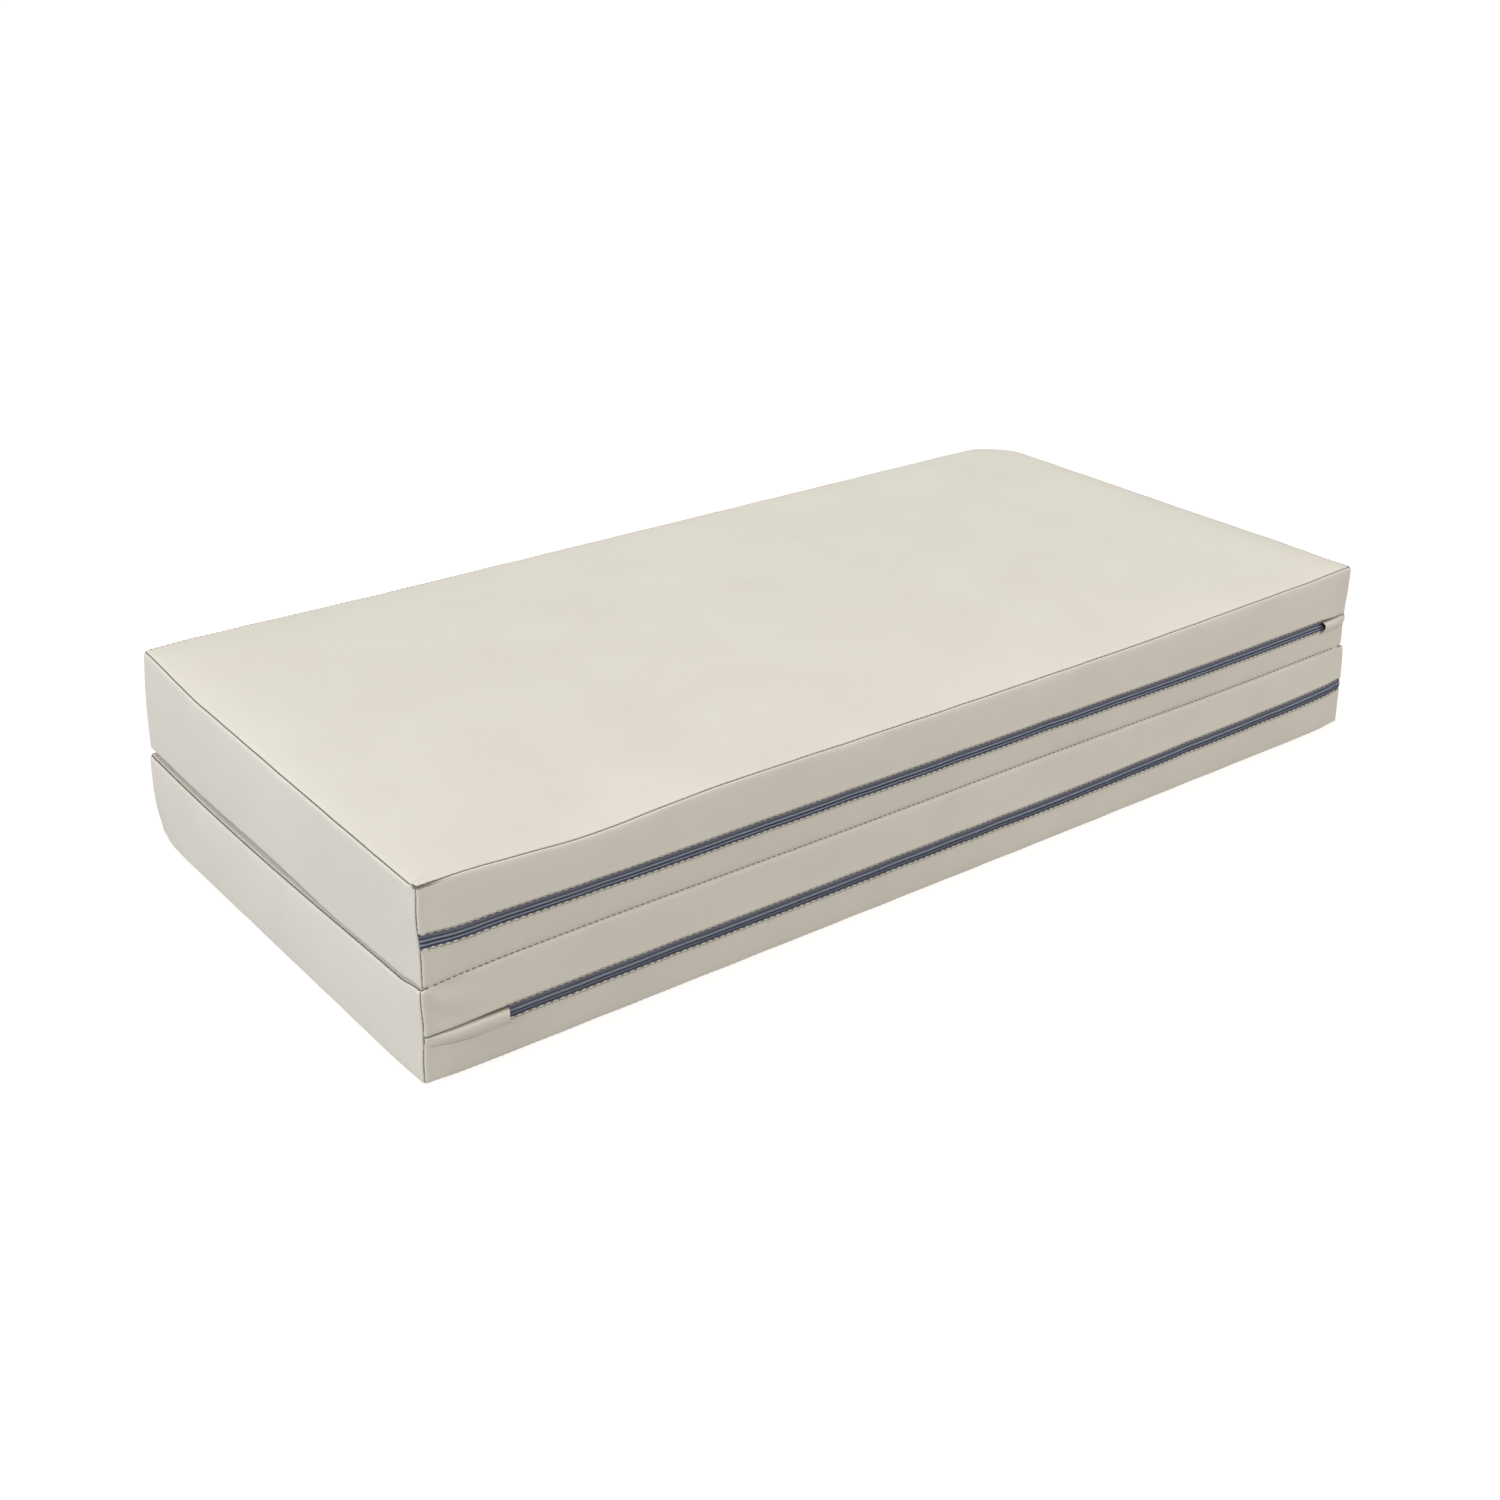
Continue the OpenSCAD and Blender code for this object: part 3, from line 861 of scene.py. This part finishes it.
def edge_rows(outer):
    """Rows of a band next to a panel seam."""
    rows = []
    for out, down in curve(BAND_EDGE, 2):
        seam = bell(down - 0.9, 0.9)
        # painted shade in the seam's groove
        shade = 0.85 * bell(out + 2.4, 0.6)
        rows.append(Row(section_height - down if outer else down, out, seam, 0, 0, shade))
    return rows[::-1] if outer else rows


def zip_rows(section, outer):
    """Rows of the folded edge beside the zip, in rising order of height."""
    side = 1 if outer else -1
    rows = []
    for past, out in curve(ZIP_EDGE, 2):
        # painted shade under the folded edge beside the zip
        shade = 0.55 * bell(out + 0.9, 0.5) if past < 2 else 0
        lip = side * bell(past, 1.6)
        close = side * max(0, 1 - past / ZIP_EDGE[-1][0])
        h = section.zip_h + side * (opening_half + LIP_EASE + past) + section.up * ZIP_OFFSET
        rows.append(Row(h, out, 0, lip, close, shade))
    return rows if outer else rows[::-1]


def band(section, name, where, low_rows, high_rows):
    """One band between two panel seams, or between a seam and the zip."""
    start, end = BANDS[where]
    ends = curve(UPRIGHT_EDGE, 2)[:, 0]
    plain_start, plain_end = start + ends[-1], end - ends[-1]
    count = round((plain_end - plain_start) / column)
    s = np.concatenate([start + ends, np.linspace(plain_start, plain_end, count + 1)[1:-1], end - ends[::-1]])
    gap = np.minimum(s - start, end - s)
    seam_out = np.interp(gap, *np.array(UPRIGHT_EDGE).T)
    x, y, normal_x, normal_y = on_outline(s)
    low_h, high_h = low_rows[-1].h, high_rows[0].h
    steps = max(2, round((high_h - low_h) / BAND_ROW))
    middle = [Row(h, 0, 0, 0, 0, 0) for h in np.linspace(low_h, high_h, steps + 1)[1:-1]]
    rows = low_rows + middle + high_rows
    # the upper cover gapes under its panel at the near left corner, and the gap gets painted shade
    gape = np.exp(-((x + half_x) / 22) ** 2 - ((y - front_y) / 6) ** 2)
    # the garage is sewn flat against the folded edge
    under = smooth((x - section.mouth_x) * section.side / 6)
    lip = lip_pucker(x) * (1 - under) + 0.5 * under
    points, shade = [], []
    for row in rows:
        gaping = section.up > 0 and row.h > section_height - GAPE_HEIGHT
        ripple = pucker(s) * row.seam
        reach = row.out + seam_out + 0.12 * ripple
        height = row.h + 0.16 * ripple
        height = height - row.zip * LIP_RIPPLE * lip - row.close * CLOSING * section.closing(x)
        if gaping:
            height = height - 1.4 * gape
        points.append(np.column_stack([x + normal_x * reach, y + normal_y * reach, height]))
        # painted shade at the needle notches of the folded edge, in the gap at the near left corner and in
        # the upright seams
        notch_shade = abs(row.zip) * (1 - lip) ** 2
        if gaping:
            notch_shade = np.minimum(1.6 * gape, 1)
        shade.append(np.maximum(np.maximum(row.shade, notch_shade), 0.75 * bell(gap, 0.45)))
    faces = grid_faces(len(rows), len(s))
    obj = piece(name, section, np.vstack(points), faces, COVER_LOOK, "cover", CLOTH)
    paint_seam_shade(obj, np.concatenate(shade))
    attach(obj, section.body)


# ---------------------------------------------------------------- thread

def stitches(centres, tangents, normals, length):
    """Single stitches, each a short bowed thread whose ends dip into the cloth."""
    along = np.array([-1, -0.86, -0.45, 0, 0.45, 0.86, 1])
    radius = THREAD_R * np.array([0.3, 0.8, 1, 1.05, 1, 0.8, 0.3])
    # the two flat ends below are made for six sides
    sides = 6
    angle = turn(sides)
    across = np.cross(normals, tangents)
    t, a = np.meshgrid(along, angle, indexing="ij")
    r = np.repeat(radius[:, None], sides, 1)
    local = np.stack([t * length / 2, r * np.cos(a) - 0.5 * t ** 4, r * np.sin(a)], -1).reshape(-1, 3)
    points = (centres[:, None] + local[None, :, 0:1] * tangents[:, None]
              + local[None, :, 1:2] * normals[:, None] + local[None, :, 2:3] * across[:, None])
    one = grid_faces(len(along), sides, closed=True)
    last = (len(along) - 1) * sides
    caps = [[0, 1, 2, 3], [0, 3, 4, 5],
            [last + 3, last + 2, last + 1, last], [last + 5, last + 4, last + 3, last]]
    one = np.vstack([one, caps])
    faces = (one[None] + np.arange(len(centres))[:, None, None] * len(local)).reshape(-1, 4)
    return points.reshape(-1, 3), faces


def join(parts):
    """Several (points, faces) as one."""
    points, faces, count = [], [], 0
    for some_points, some_faces in parts:
        points.append(some_points)
        faces.append(some_faces + count)
        count += len(some_points)
    return np.vstack(points), np.vstack(faces)


def row_of_stitches(centres, tangent, normal, length):
    """Stitches that all point the same way."""
    shape = (len(centres), 1)
    return stitches(centres, np.tile(np.array(tangent, float), shape),
                    np.tile(np.array(normal, float), shape), length)


def seam_stitches(outer):
    """The row of stitches along a panel seam. In front the inner seam lies under the hinge strip."""
    s = (np.arange(stitch_count) + 0.5) * seam_pitch
    x, y, normal_x, normal_y = on_outline(s)
    if not outer:
        kept = s > front_end + 2
        x, y, normal_x, normal_y = (values[kept] for values in (x, y, normal_x, normal_y))
    out, down = GROOVE
    rise = np.full(len(x), 1.0 if outer else -1.0)
    height = section_height - down if outer else down
    centres = np.column_stack([x + normal_x * out, y + normal_y * out, np.full(len(x), height)])
    normals = np.column_stack([normal_x, normal_y, 1.2 * rise]) / math.hypot(1, 1.2)
    tangents = np.column_stack([-normal_y, normal_x, np.zeros(len(x))])
    return stitches(centres, tangents, normals, SEAM_STITCH * seam_pitch)


def upright_stitches(section):
    """The stitches in the four upright corner seams."""
    count = int((section_height - 14) / seam_pitch)
    h = 7 + seam_pitch * (np.arange(count) + 0.5)
    parts = []
    for start, _ in BANDS.values():
        at_zip = start <= front_end
        sewn = h[abs(h - section.zip_h) > opening_half + 1] if at_zip else h
        x, y, normal_x, normal_y = (float(value) for value in on_outline(start))
        normal = np.array([normal_x, normal_y, 0])
        centres = np.array([x, y, 0]) - 0.45 * normal + sewn[:, None] * [0, 0, 1]
        parts.append(row_of_stitches(centres, (0, 0, 1), normal, SEAM_STITCH * seam_pitch))
    return join(parts)


def zip_stitches(section):
    """The two lines of stitches that hold the tapes to the folded edges."""
    x = ZIP_PITCH * (np.arange(round(-seam_x / ZIP_PITCH) + 1, round(seam_x / ZIP_PITCH) - 1) + 0.5)
    x = x[(x - section.mouth_x) * section.side < 0]
    past, out = ZIP_STITCH
    parts = []
    for side in (-1, 1):
        h = np.full(len(x), section.zip_h + side * (opening_half + past) + section.up * ZIP_OFFSET)
        centres = np.column_stack([x, np.full(len(x), front_y - out + 0.1), h])
        parts.append(row_of_stitches(centres, (1, 0, 0), (0, -1, 0), ZIP_STITCH_SHARE * ZIP_PITCH))
    return join(parts)


def seam_thread(section):
    points, faces = join([seam_stitches(True), seam_stitches(False), upright_stitches(section),
                          zip_stitches(section)])
    obj = piece(f"{section.name}_seam_thread", section, points, faces, THREAD_LOOK, "thread")
    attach(obj, section.body)


# ---------------------------------------------------------------- zips

def tube(path, radius, sides):
    """A round tube along a path, with flat ends."""
    forward = np.gradient(path, axis=0)
    forward /= np.linalg.norm(forward, axis=1, keepdims=True)
    first = np.cross(forward, [0.0, 0.0, 1.0])
    first /= np.linalg.norm(first, axis=1, keepdims=True)
    second = np.cross(forward, first)
    angle = turn(sides)
    ring = first[:, None] * np.cos(angle)[None, :, None] + second[:, None] * np.sin(angle)[None, :, None]
    radius = np.broadcast_to(np.asarray(radius, float), (len(path),))
    points = (path[:, None] + ring * radius[:, None, None]).reshape(-1, 3)
    faces = grid_faces(len(path), sides, closed=True)[:, ::-1]
    fan = [[0, i, i + 1, i + 1] for i in range(1, sides - 1)]
    last = (len(path) - 1) * sides
    far = [[last, last + i + 1, last + i, last + i] for i in range(1, sides - 1)]
    return points, np.vstack([faces, fan, far])


def coil(section, name, side):
    """One half of the chain: a nylon coil whose heads lock between those of the other half."""
    turns = int((zip_end + seam_x - 1) / COIL_PITCH)
    turned = np.arange(turns * COIL_POINTS + 1) / COIL_POINTS
    theta = 2 * np.pi * turned + (math.pi if side > 0 else 0)
    x = -section.side * (zip_end - COIL_PITCH * turned)
    v = side * (1.15 + 1.2 * np.cos(theta))
    out = -0.28 + 0.6 * np.sin(theta)
    path = np.column_stack([x, front_line(x) - out, section.zip_h + v])
    points, faces = tube(path, COIL_WIRE_R, COIL_SIDES)
    obj = piece(name, section, points, faces, COIL_LOOK, "zip_coil")
    # painted shade along the middle, where the two halves lock
    paint_seam_shade(obj, np.repeat(near(abs(v) - 0.9, 0.4), COIL_SIDES))
    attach(obj, section.body)


def tape(section, name, side):
    """One woven tape, with a cord woven in beside the coil."""
    x = np.linspace(-seam_x, seam_x, 300)
    x = np.append(x, zip_end) if section.side < 0 else np.insert(x, 0, -zip_end)
    shape = curve(TAPE_SHAPE, 3)
    points = [np.column_stack([x, front_line(x) - out, np.full(len(x), section.zip_h + side * v)])
              for v, out in shape]
    faces = grid_faces(len(shape), len(x))
    if side < 0:
        faces = faces[:, ::-1]
    obj = piece(name, section, np.vstack(points), faces, TAPE_LOOK, "zip_tape", TAPE)
    # painted shade on the tape beside the coil, and half as much further out under the folded edges
    chain_shade = smooth((shape[:, 0] - 2.7) / 0.5) - 0.5 * smooth((shape[:, 0] - 4.2) / 0.8)
    paint_seam_shade(obj, np.repeat(chain_shade, len(x)))
    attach(obj, section.body)


# ---------------------------------------------------------------- garages, hinge

def garage(section):
    """The flap over a parked slider, from the corner seam to its open mouth."""
    far_x = section.side * (half_x - 1.6)
    length = abs(far_x - section.mouth_x)
    along = np.concatenate([np.linspace(0, 3, 7)[:-1], np.linspace(3, length, 60)])
    shape = curve(GARAGE_SHAPE, 3)
    rows = []
    for e in along:
        x = section.mouth_x + section.side * e
        # flatter and narrower towards the corner seam, which a long one reaches nearly flat
        if length > 60:
            full = 1 - 0.75 * smooth((e - 40) / (length - 36))
        else:
            full = 1 - 0.55 * smooth((e - 26) / 20)
        narrow = 1 - 0.33 * smooth((e - 30) / (length - 28))
        hem = 0.45 * bell(e - 1.2, 1.3)
        v = shape[:, 0] * narrow
        out = shape[:, 1] * full + hem * (shape[:, 1] > 1)
        mouth = section.side * 2.2 * fade(e, 8) * (1 - (shape[:, 0] / 8) ** 2)
        rows.append(np.column_stack([x + mouth, front_line(x) - out, section.zip_h + section.up * v]))
    faces = grid_faces(len(rows), len(shape))
    points = np.vstack(rows)
    if point_normals(points, faces)[:, 1].mean() > 0:
        faces = faces[:, ::-1]
    obj = piece(f"{section.name}_zip_garage", section, points, faces, COVER_LOOK, "cover", CLOTH)
    # painted shade along the fold, and along the lower edge away from the mouth
    fold = bell(shape[:, 0] - GARAGE_SHAPE[-1][0], 0.8)
    hem = 0.9 * bell(shape[:, 0] - GARAGE_SHAPE[0][0], 0.7)
    paint_seam_shade(obj, (fold + hem * smooth((along[:, None] - 12) / 25)).ravel())
    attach(obj, section.body)
    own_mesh(obj)


def hinge():
    """The sewn strip across the fold, and its stitches."""
    count = int(2 * strip_end / column)
    x = np.linspace(-strip_end, strip_end, count)
    half = curve(STRIP_SHAPE, 2)
    shape = np.vstack([half[:0:-1] * [-1, 1], half])
    line = hinge_z + hinge_rise(x)
    rows = []
    for height, out in shape:
        lower_side = smooth(-height / 2.5) * smooth((x + half_x) / 200)
        reach = out + 0.18 * bell(height, 1.3) * pucker(x) - 0.75 * HINGE_FURROW[-1] * lower_side
        rows.append(np.column_stack([x, front_y - reach, line + height]))
    points, faces = thicken(np.vstack(rows), grid_faces(len(shape), count), CLOTH)
    strip = make("hinge_strip_cloth", points, faces, COVER_LOOK)
    # faint painted shade along the fold line
    paint_seam_shade(strip, np.repeat(0.1 * bell(shape[:, 0], 0.8), count))
    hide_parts("hinge_strip")
    number = int(2 * (strip_end - 4) / seam_pitch)
    x = -strip_end + 4 + seam_pitch * (np.arange(number) + 0.5)
    centres = np.column_stack([x, np.full(number, front_y + 0.95), hinge_z + hinge_rise(x)])
    points, faces = row_of_stitches(centres, (1, 0, 0), (0, -1, 0), SEAM_STITCH * seam_pitch)
    thread = make("hinge_stitches_thread", points, faces, THREAD_LOOK)
    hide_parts("hinge_stitches")
    for obj in (strip, thread):
        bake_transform(obj)


# ---------------------------------------------------------------- sliders and pulls

def rigid(section, name, body, u, v, out, faces):
    """A hard piece at the slider: u towards its nose, v up the face, out of the face."""
    x = section.slider_x + section.side * u
    y = front_y - out
    z = section.face_z + section.up * section.zip_h + v
    if section.up > 0:
        y, z = section.turned(y, z, tilt)
    points = np.column_stack([x, y, z])
    if section.side < 0:
        faces = faces[:, ::-1]
    obj = make(f"{name}_metal", points, faces, METAL_LOOK, 30)
    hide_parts(name)
    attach(obj, body)
    return obj


def plate(shape, levels):
    """A flat plate with rounded edges: the outline at several heights, each drawn in a little."""
    middle = shape.mean(axis=0)
    size = np.abs(shape - middle).max()
    points, count = [], len(shape)
    for out, inset in levels:
        ring = middle + (shape - middle) * (1 - inset / size)
        points.append(np.column_stack([ring, np.full(count, out)]))
    for out in (levels[0][0], levels[-1][0]):
        points.append([[*middle, out]])
    faces = grid_faces(len(levels), count, closed=True)
    low, high, last = len(levels) * count, len(levels) * count + 1, (len(levels) - 1) * count
    here, there = np.arange(count), (np.arange(count) + 1) % count
    floor = np.column_stack([there, here, np.full(count, low), np.full(count, low)])
    roof = np.column_stack([here + last, there + last, np.full(count, high), np.full(count, high)])
    return np.vstack(points), np.vstack([faces, floor, roof])


def slider(section):
    """Slider: two shield-shaped plates, the web between them and the bridge."""
    angle = np.radians(np.linspace(-62, 62, 25))
    nose = np.column_stack([1.5 + 4.5 * np.cos(angle), 4.5 * np.sin(angle)])
    tail = np.array([(-1.5, 3.75), (-5.2, 3.6), (-5.8, 3.3), (-6, 2.7)])
    shield = np.vstack([nose, tail, tail[::-1] * [1, -1]])
    front = plate(shield, [(1.05, 0.35), (1.2, 0.05), (1.75, 0), (2.05, 0.2), (2.2, 0.6), (2.28, 1.5)])
    back = plate(shield, [(-3.4, 0.5), (-3.3, 0.1), (-2.4, 0), (-2.2, 0.2)])
    web = plate(np.array([(2.0, -0.3), (3.6, -0.3), (5.2, 0), (3.6, 0.3), (2.0, 0.3)]), [(-2.3, 0), (1.3, 0)])
    rising = np.array([(-2.6, 2.0, 0), (-2.45, 3.0, 0), (-1.7, 3.62, 0), (0, 3.72, 0)])
    arch = curve(np.vstack([rising, rising[-2::-1] * [-1, 1, 1]]), 5)
    bridge_points, bridge_faces = tube(arch, 0.34, 10)
    bridge_points = bridge_points[:, [0, 2, 1]] * [1, 2, 1]
    points, faces = join([front, back, web, (bridge_points, bridge_faces[:, ::-1])])
    u, v, out = points.T
    rigid(section, f"{section.name}_zip_slider", f"{section.name}_slider", u, v, out, faces)


def pull(section):
    """Pull: a flat tab with rounded edges, and an eye whose bar turns under the bridge."""
    count = 72
    angle = turn(count)
    hole = np.column_stack([2.5 + 2.1 * np.cos(angle), 1.6 * np.sin(angle)])
    power = 0.55
    square_u = np.sign(np.cos(angle)) * abs(np.cos(angle)) ** power
    square_v = np.sign(np.sin(angle)) * abs(np.sin(angle)) ** power
    waist = 1 - 0.16 * bell(3 * square_u + 0.75, 1)
    tab = np.column_stack([11.8 + 12.2 * square_u, 3 * square_v * waist])
    depth = front_y - section.pull_y
    rings = [(hole, 0.25), (hole, 0.4), (tab * [1, 0.94] - [0.1, 0], 0.4), (tab, 0.22)]
    loops = [np.column_stack([shape, np.full(count, depth + level)]) for shape, level in rings]
    loops += [np.column_stack([shape, np.full(count, depth - level)]) for shape, level in rings[::-1]]
    index, after = np.arange(count), (np.arange(count) + 1) % count
    last = (len(loops) - 1) * count
    seam = np.column_stack([last + index, last + after, after, index])
    faces = np.vstack([grid_faces(len(loops), count, closed=True), seam])[:, ::-1]
    u, v, out = np.vstack(loops).T
    rigid(section, f"{section.name}_zip_pull", f"{section.name}_pull", u, v, out, faces)


# ---------------------------------------------------------------- foam

# How far the foam lies inside the cover
FOAM_INSET = 4.5


def foam_core(section):
    """The foam block, soft at its edges, just inside the cover."""
    h = section_height
    # how much further in, and height
    rows = [(4, 5), (1.2, 6.2), (0, 10), (0, 30), (0, 50), (0, 70), (0, h - 10), (1.2, h - 6.2), (4, h - 5)]
    points, faces = block(FOAM_INSET, CELLS_X, CELLS_Y, rows)
    obj = piece(f"{section.name}_foam_core", section, points, faces, FOAM_LOOK, "foam")
    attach(obj, section.body)


# ---------------------------------------------------------------- stage

# Half the side of the floor, in metres
FLOOR_REACH = 60
SKY_COLOUR, SKY_STRENGTH = (1.0, 0.985, 0.96, 1), 0.30
# How brightly the white floor glows, for the object and for the camera
FLOOR_GLOW = (0.30, 0.92)
# Studio lights far off: name, direction towards it, spread in degrees, strength, colour
LIGHTS = [
    ("key", (0.0, 0.1, 1.0), 50, 1.10, (1.0, 0.99, 0.94)),
    ("left", (-1.0, 0.1, 0.5), 50, 1.78, (0.90, 0.93, 1.0)),
    ("front", (0.2, -1.0, 0.70), 50, 0.77, (1.0, 0.955, 0.90)),
]
# A soft box low down at the right, nearer to that end: place, radius, watts, colour
SOFT_BOX = ((1.5, -2.0, 0.12), 0.4, 21.0, (1.0, 0.955, 0.90))
CAMERA_AT = (-1.2611, -1.6574, 1.0166)
CAMERA_AZIMUTH, CAMERA_ELEVATION, CAMERA_ROLL = -36.478, 21.056, -0.623
CAMERA_LENS, CAMERA_SHIFT = 49.21, -0.1


def lamp(name, kind, strength, colour):
    """A light with its object."""
    data = bpy.data.lights.new(name, kind)
    data.energy, data.color = strength, colour
    obj = bpy.data.objects.new(name, data)
    bpy.context.scene.collection.objects.link(obj)
    return data, obj


def stage():
    """Pale floor and soft studio light."""
    mesh = bpy.data.meshes.new("floor")
    corners = [(x * FLOOR_REACH, y * FLOOR_REACH, 0) for x, y in ((-1, -1), (1, -1), (1, 1), (-1, 1))]
    mesh.from_pydata(corners, [], [(0, 1, 2, 3)])
    floor = bpy.data.objects.new("floor", mesh)
    bpy.context.scene.collection.objects.link(floor)

    def paper(tree, shader):
        set_shader(shader, Base_Color=(0.16, 0.16, 0.16, 1), Roughness=0.9, Specular_IOR_Level=0.1,
                   Emission_Color=(1, 0.97, 0.95, 1))
        seen = tree.nodes.new("ShaderNodeLightPath").outputs["Is Camera Ray"]
        tree.links.new(between(tree, seen, *FLOOR_GLOW), shader.inputs["Emission Strength"])

    floor.data.materials.append(material("paper", paper))
    world = bpy.data.worlds.new("studio")
    bpy.context.scene.world = world
    world.use_nodes = True
    sky = world.node_tree.nodes["Background"]
    sky.inputs["Color"].default_value = SKY_COLOUR
    sky.inputs["Strength"].default_value = SKY_STRENGTH
    for name, direction, width, strength, colour in LIGHTS:
        data, obj = lamp(name, "SUN", strength, colour)
        data.angle = math.radians(width)
        obj.rotation_euler = Vector(direction).to_track_quat("Z", "Y").to_euler()
    place, radius, watts, colour = SOFT_BOX
    data, obj = lamp("soft_box", "POINT", watts, colour)
    data.shadow_soft_size = radius
    obj.location = place


def camera():
    """The camera of the view to match; azimuth 0 looks along +Y."""
    azimuth, elevation = math.radians(CAMERA_AZIMUTH), math.radians(CAMERA_ELEVATION)
    turned = (Matrix.Rotation(azimuth, 4, "Z") @ Matrix.Rotation(math.pi / 2 - elevation, 4, "X")
              @ Matrix.Rotation(math.radians(CAMERA_ROLL), 4, "Z"))
    data = bpy.data.cameras.new("camera")
    data.lens, data.sensor_width, data.clip_start, data.clip_end = CAMERA_LENS, 36, 0.05, 200
    data.shift_y = CAMERA_SHIFT
    obj = bpy.data.objects.new("camera", data)
    bpy.context.scene.collection.objects.link(obj)
    obj.matrix_world = Matrix.Translation(CAMERA_AT) @ turned
    bpy.context.scene.camera = obj


# ---------------------------------------------------------------- the whole mattress

def build(section):
    name = section.name
    foam_core(section)
    panel(section, f"{name}_outer_panel", True)
    panel(section, f"{name}_inner_panel", False)
    for where in ("left_end", "right_end", "rear"):
        band(section, f"{name}_{where}_band", where, edge_rows(False), edge_rows(True))
    band(section, f"{name}_front_inner_band", "front", edge_rows(False), zip_rows(section, False))
    band(section, f"{name}_front_outer_band", "front", zip_rows(section, True), edge_rows(True))
    for part, side in (("outer", 1), ("inner", -1)):
        coil(section, f"{name}_zip_{part}_coil", side)
        tape(section, f"{name}_zip_{part}_tape", side)
    seam_thread(section)
    garage(section)
    slider(section)
    pull(section)


camera()
stage()
bpy.context.scene.view_settings.view_transform = "Standard"
lower = Section("lower", -1)
upper = Section("upper", 1)
build(lower)
build(upper)
hinge()
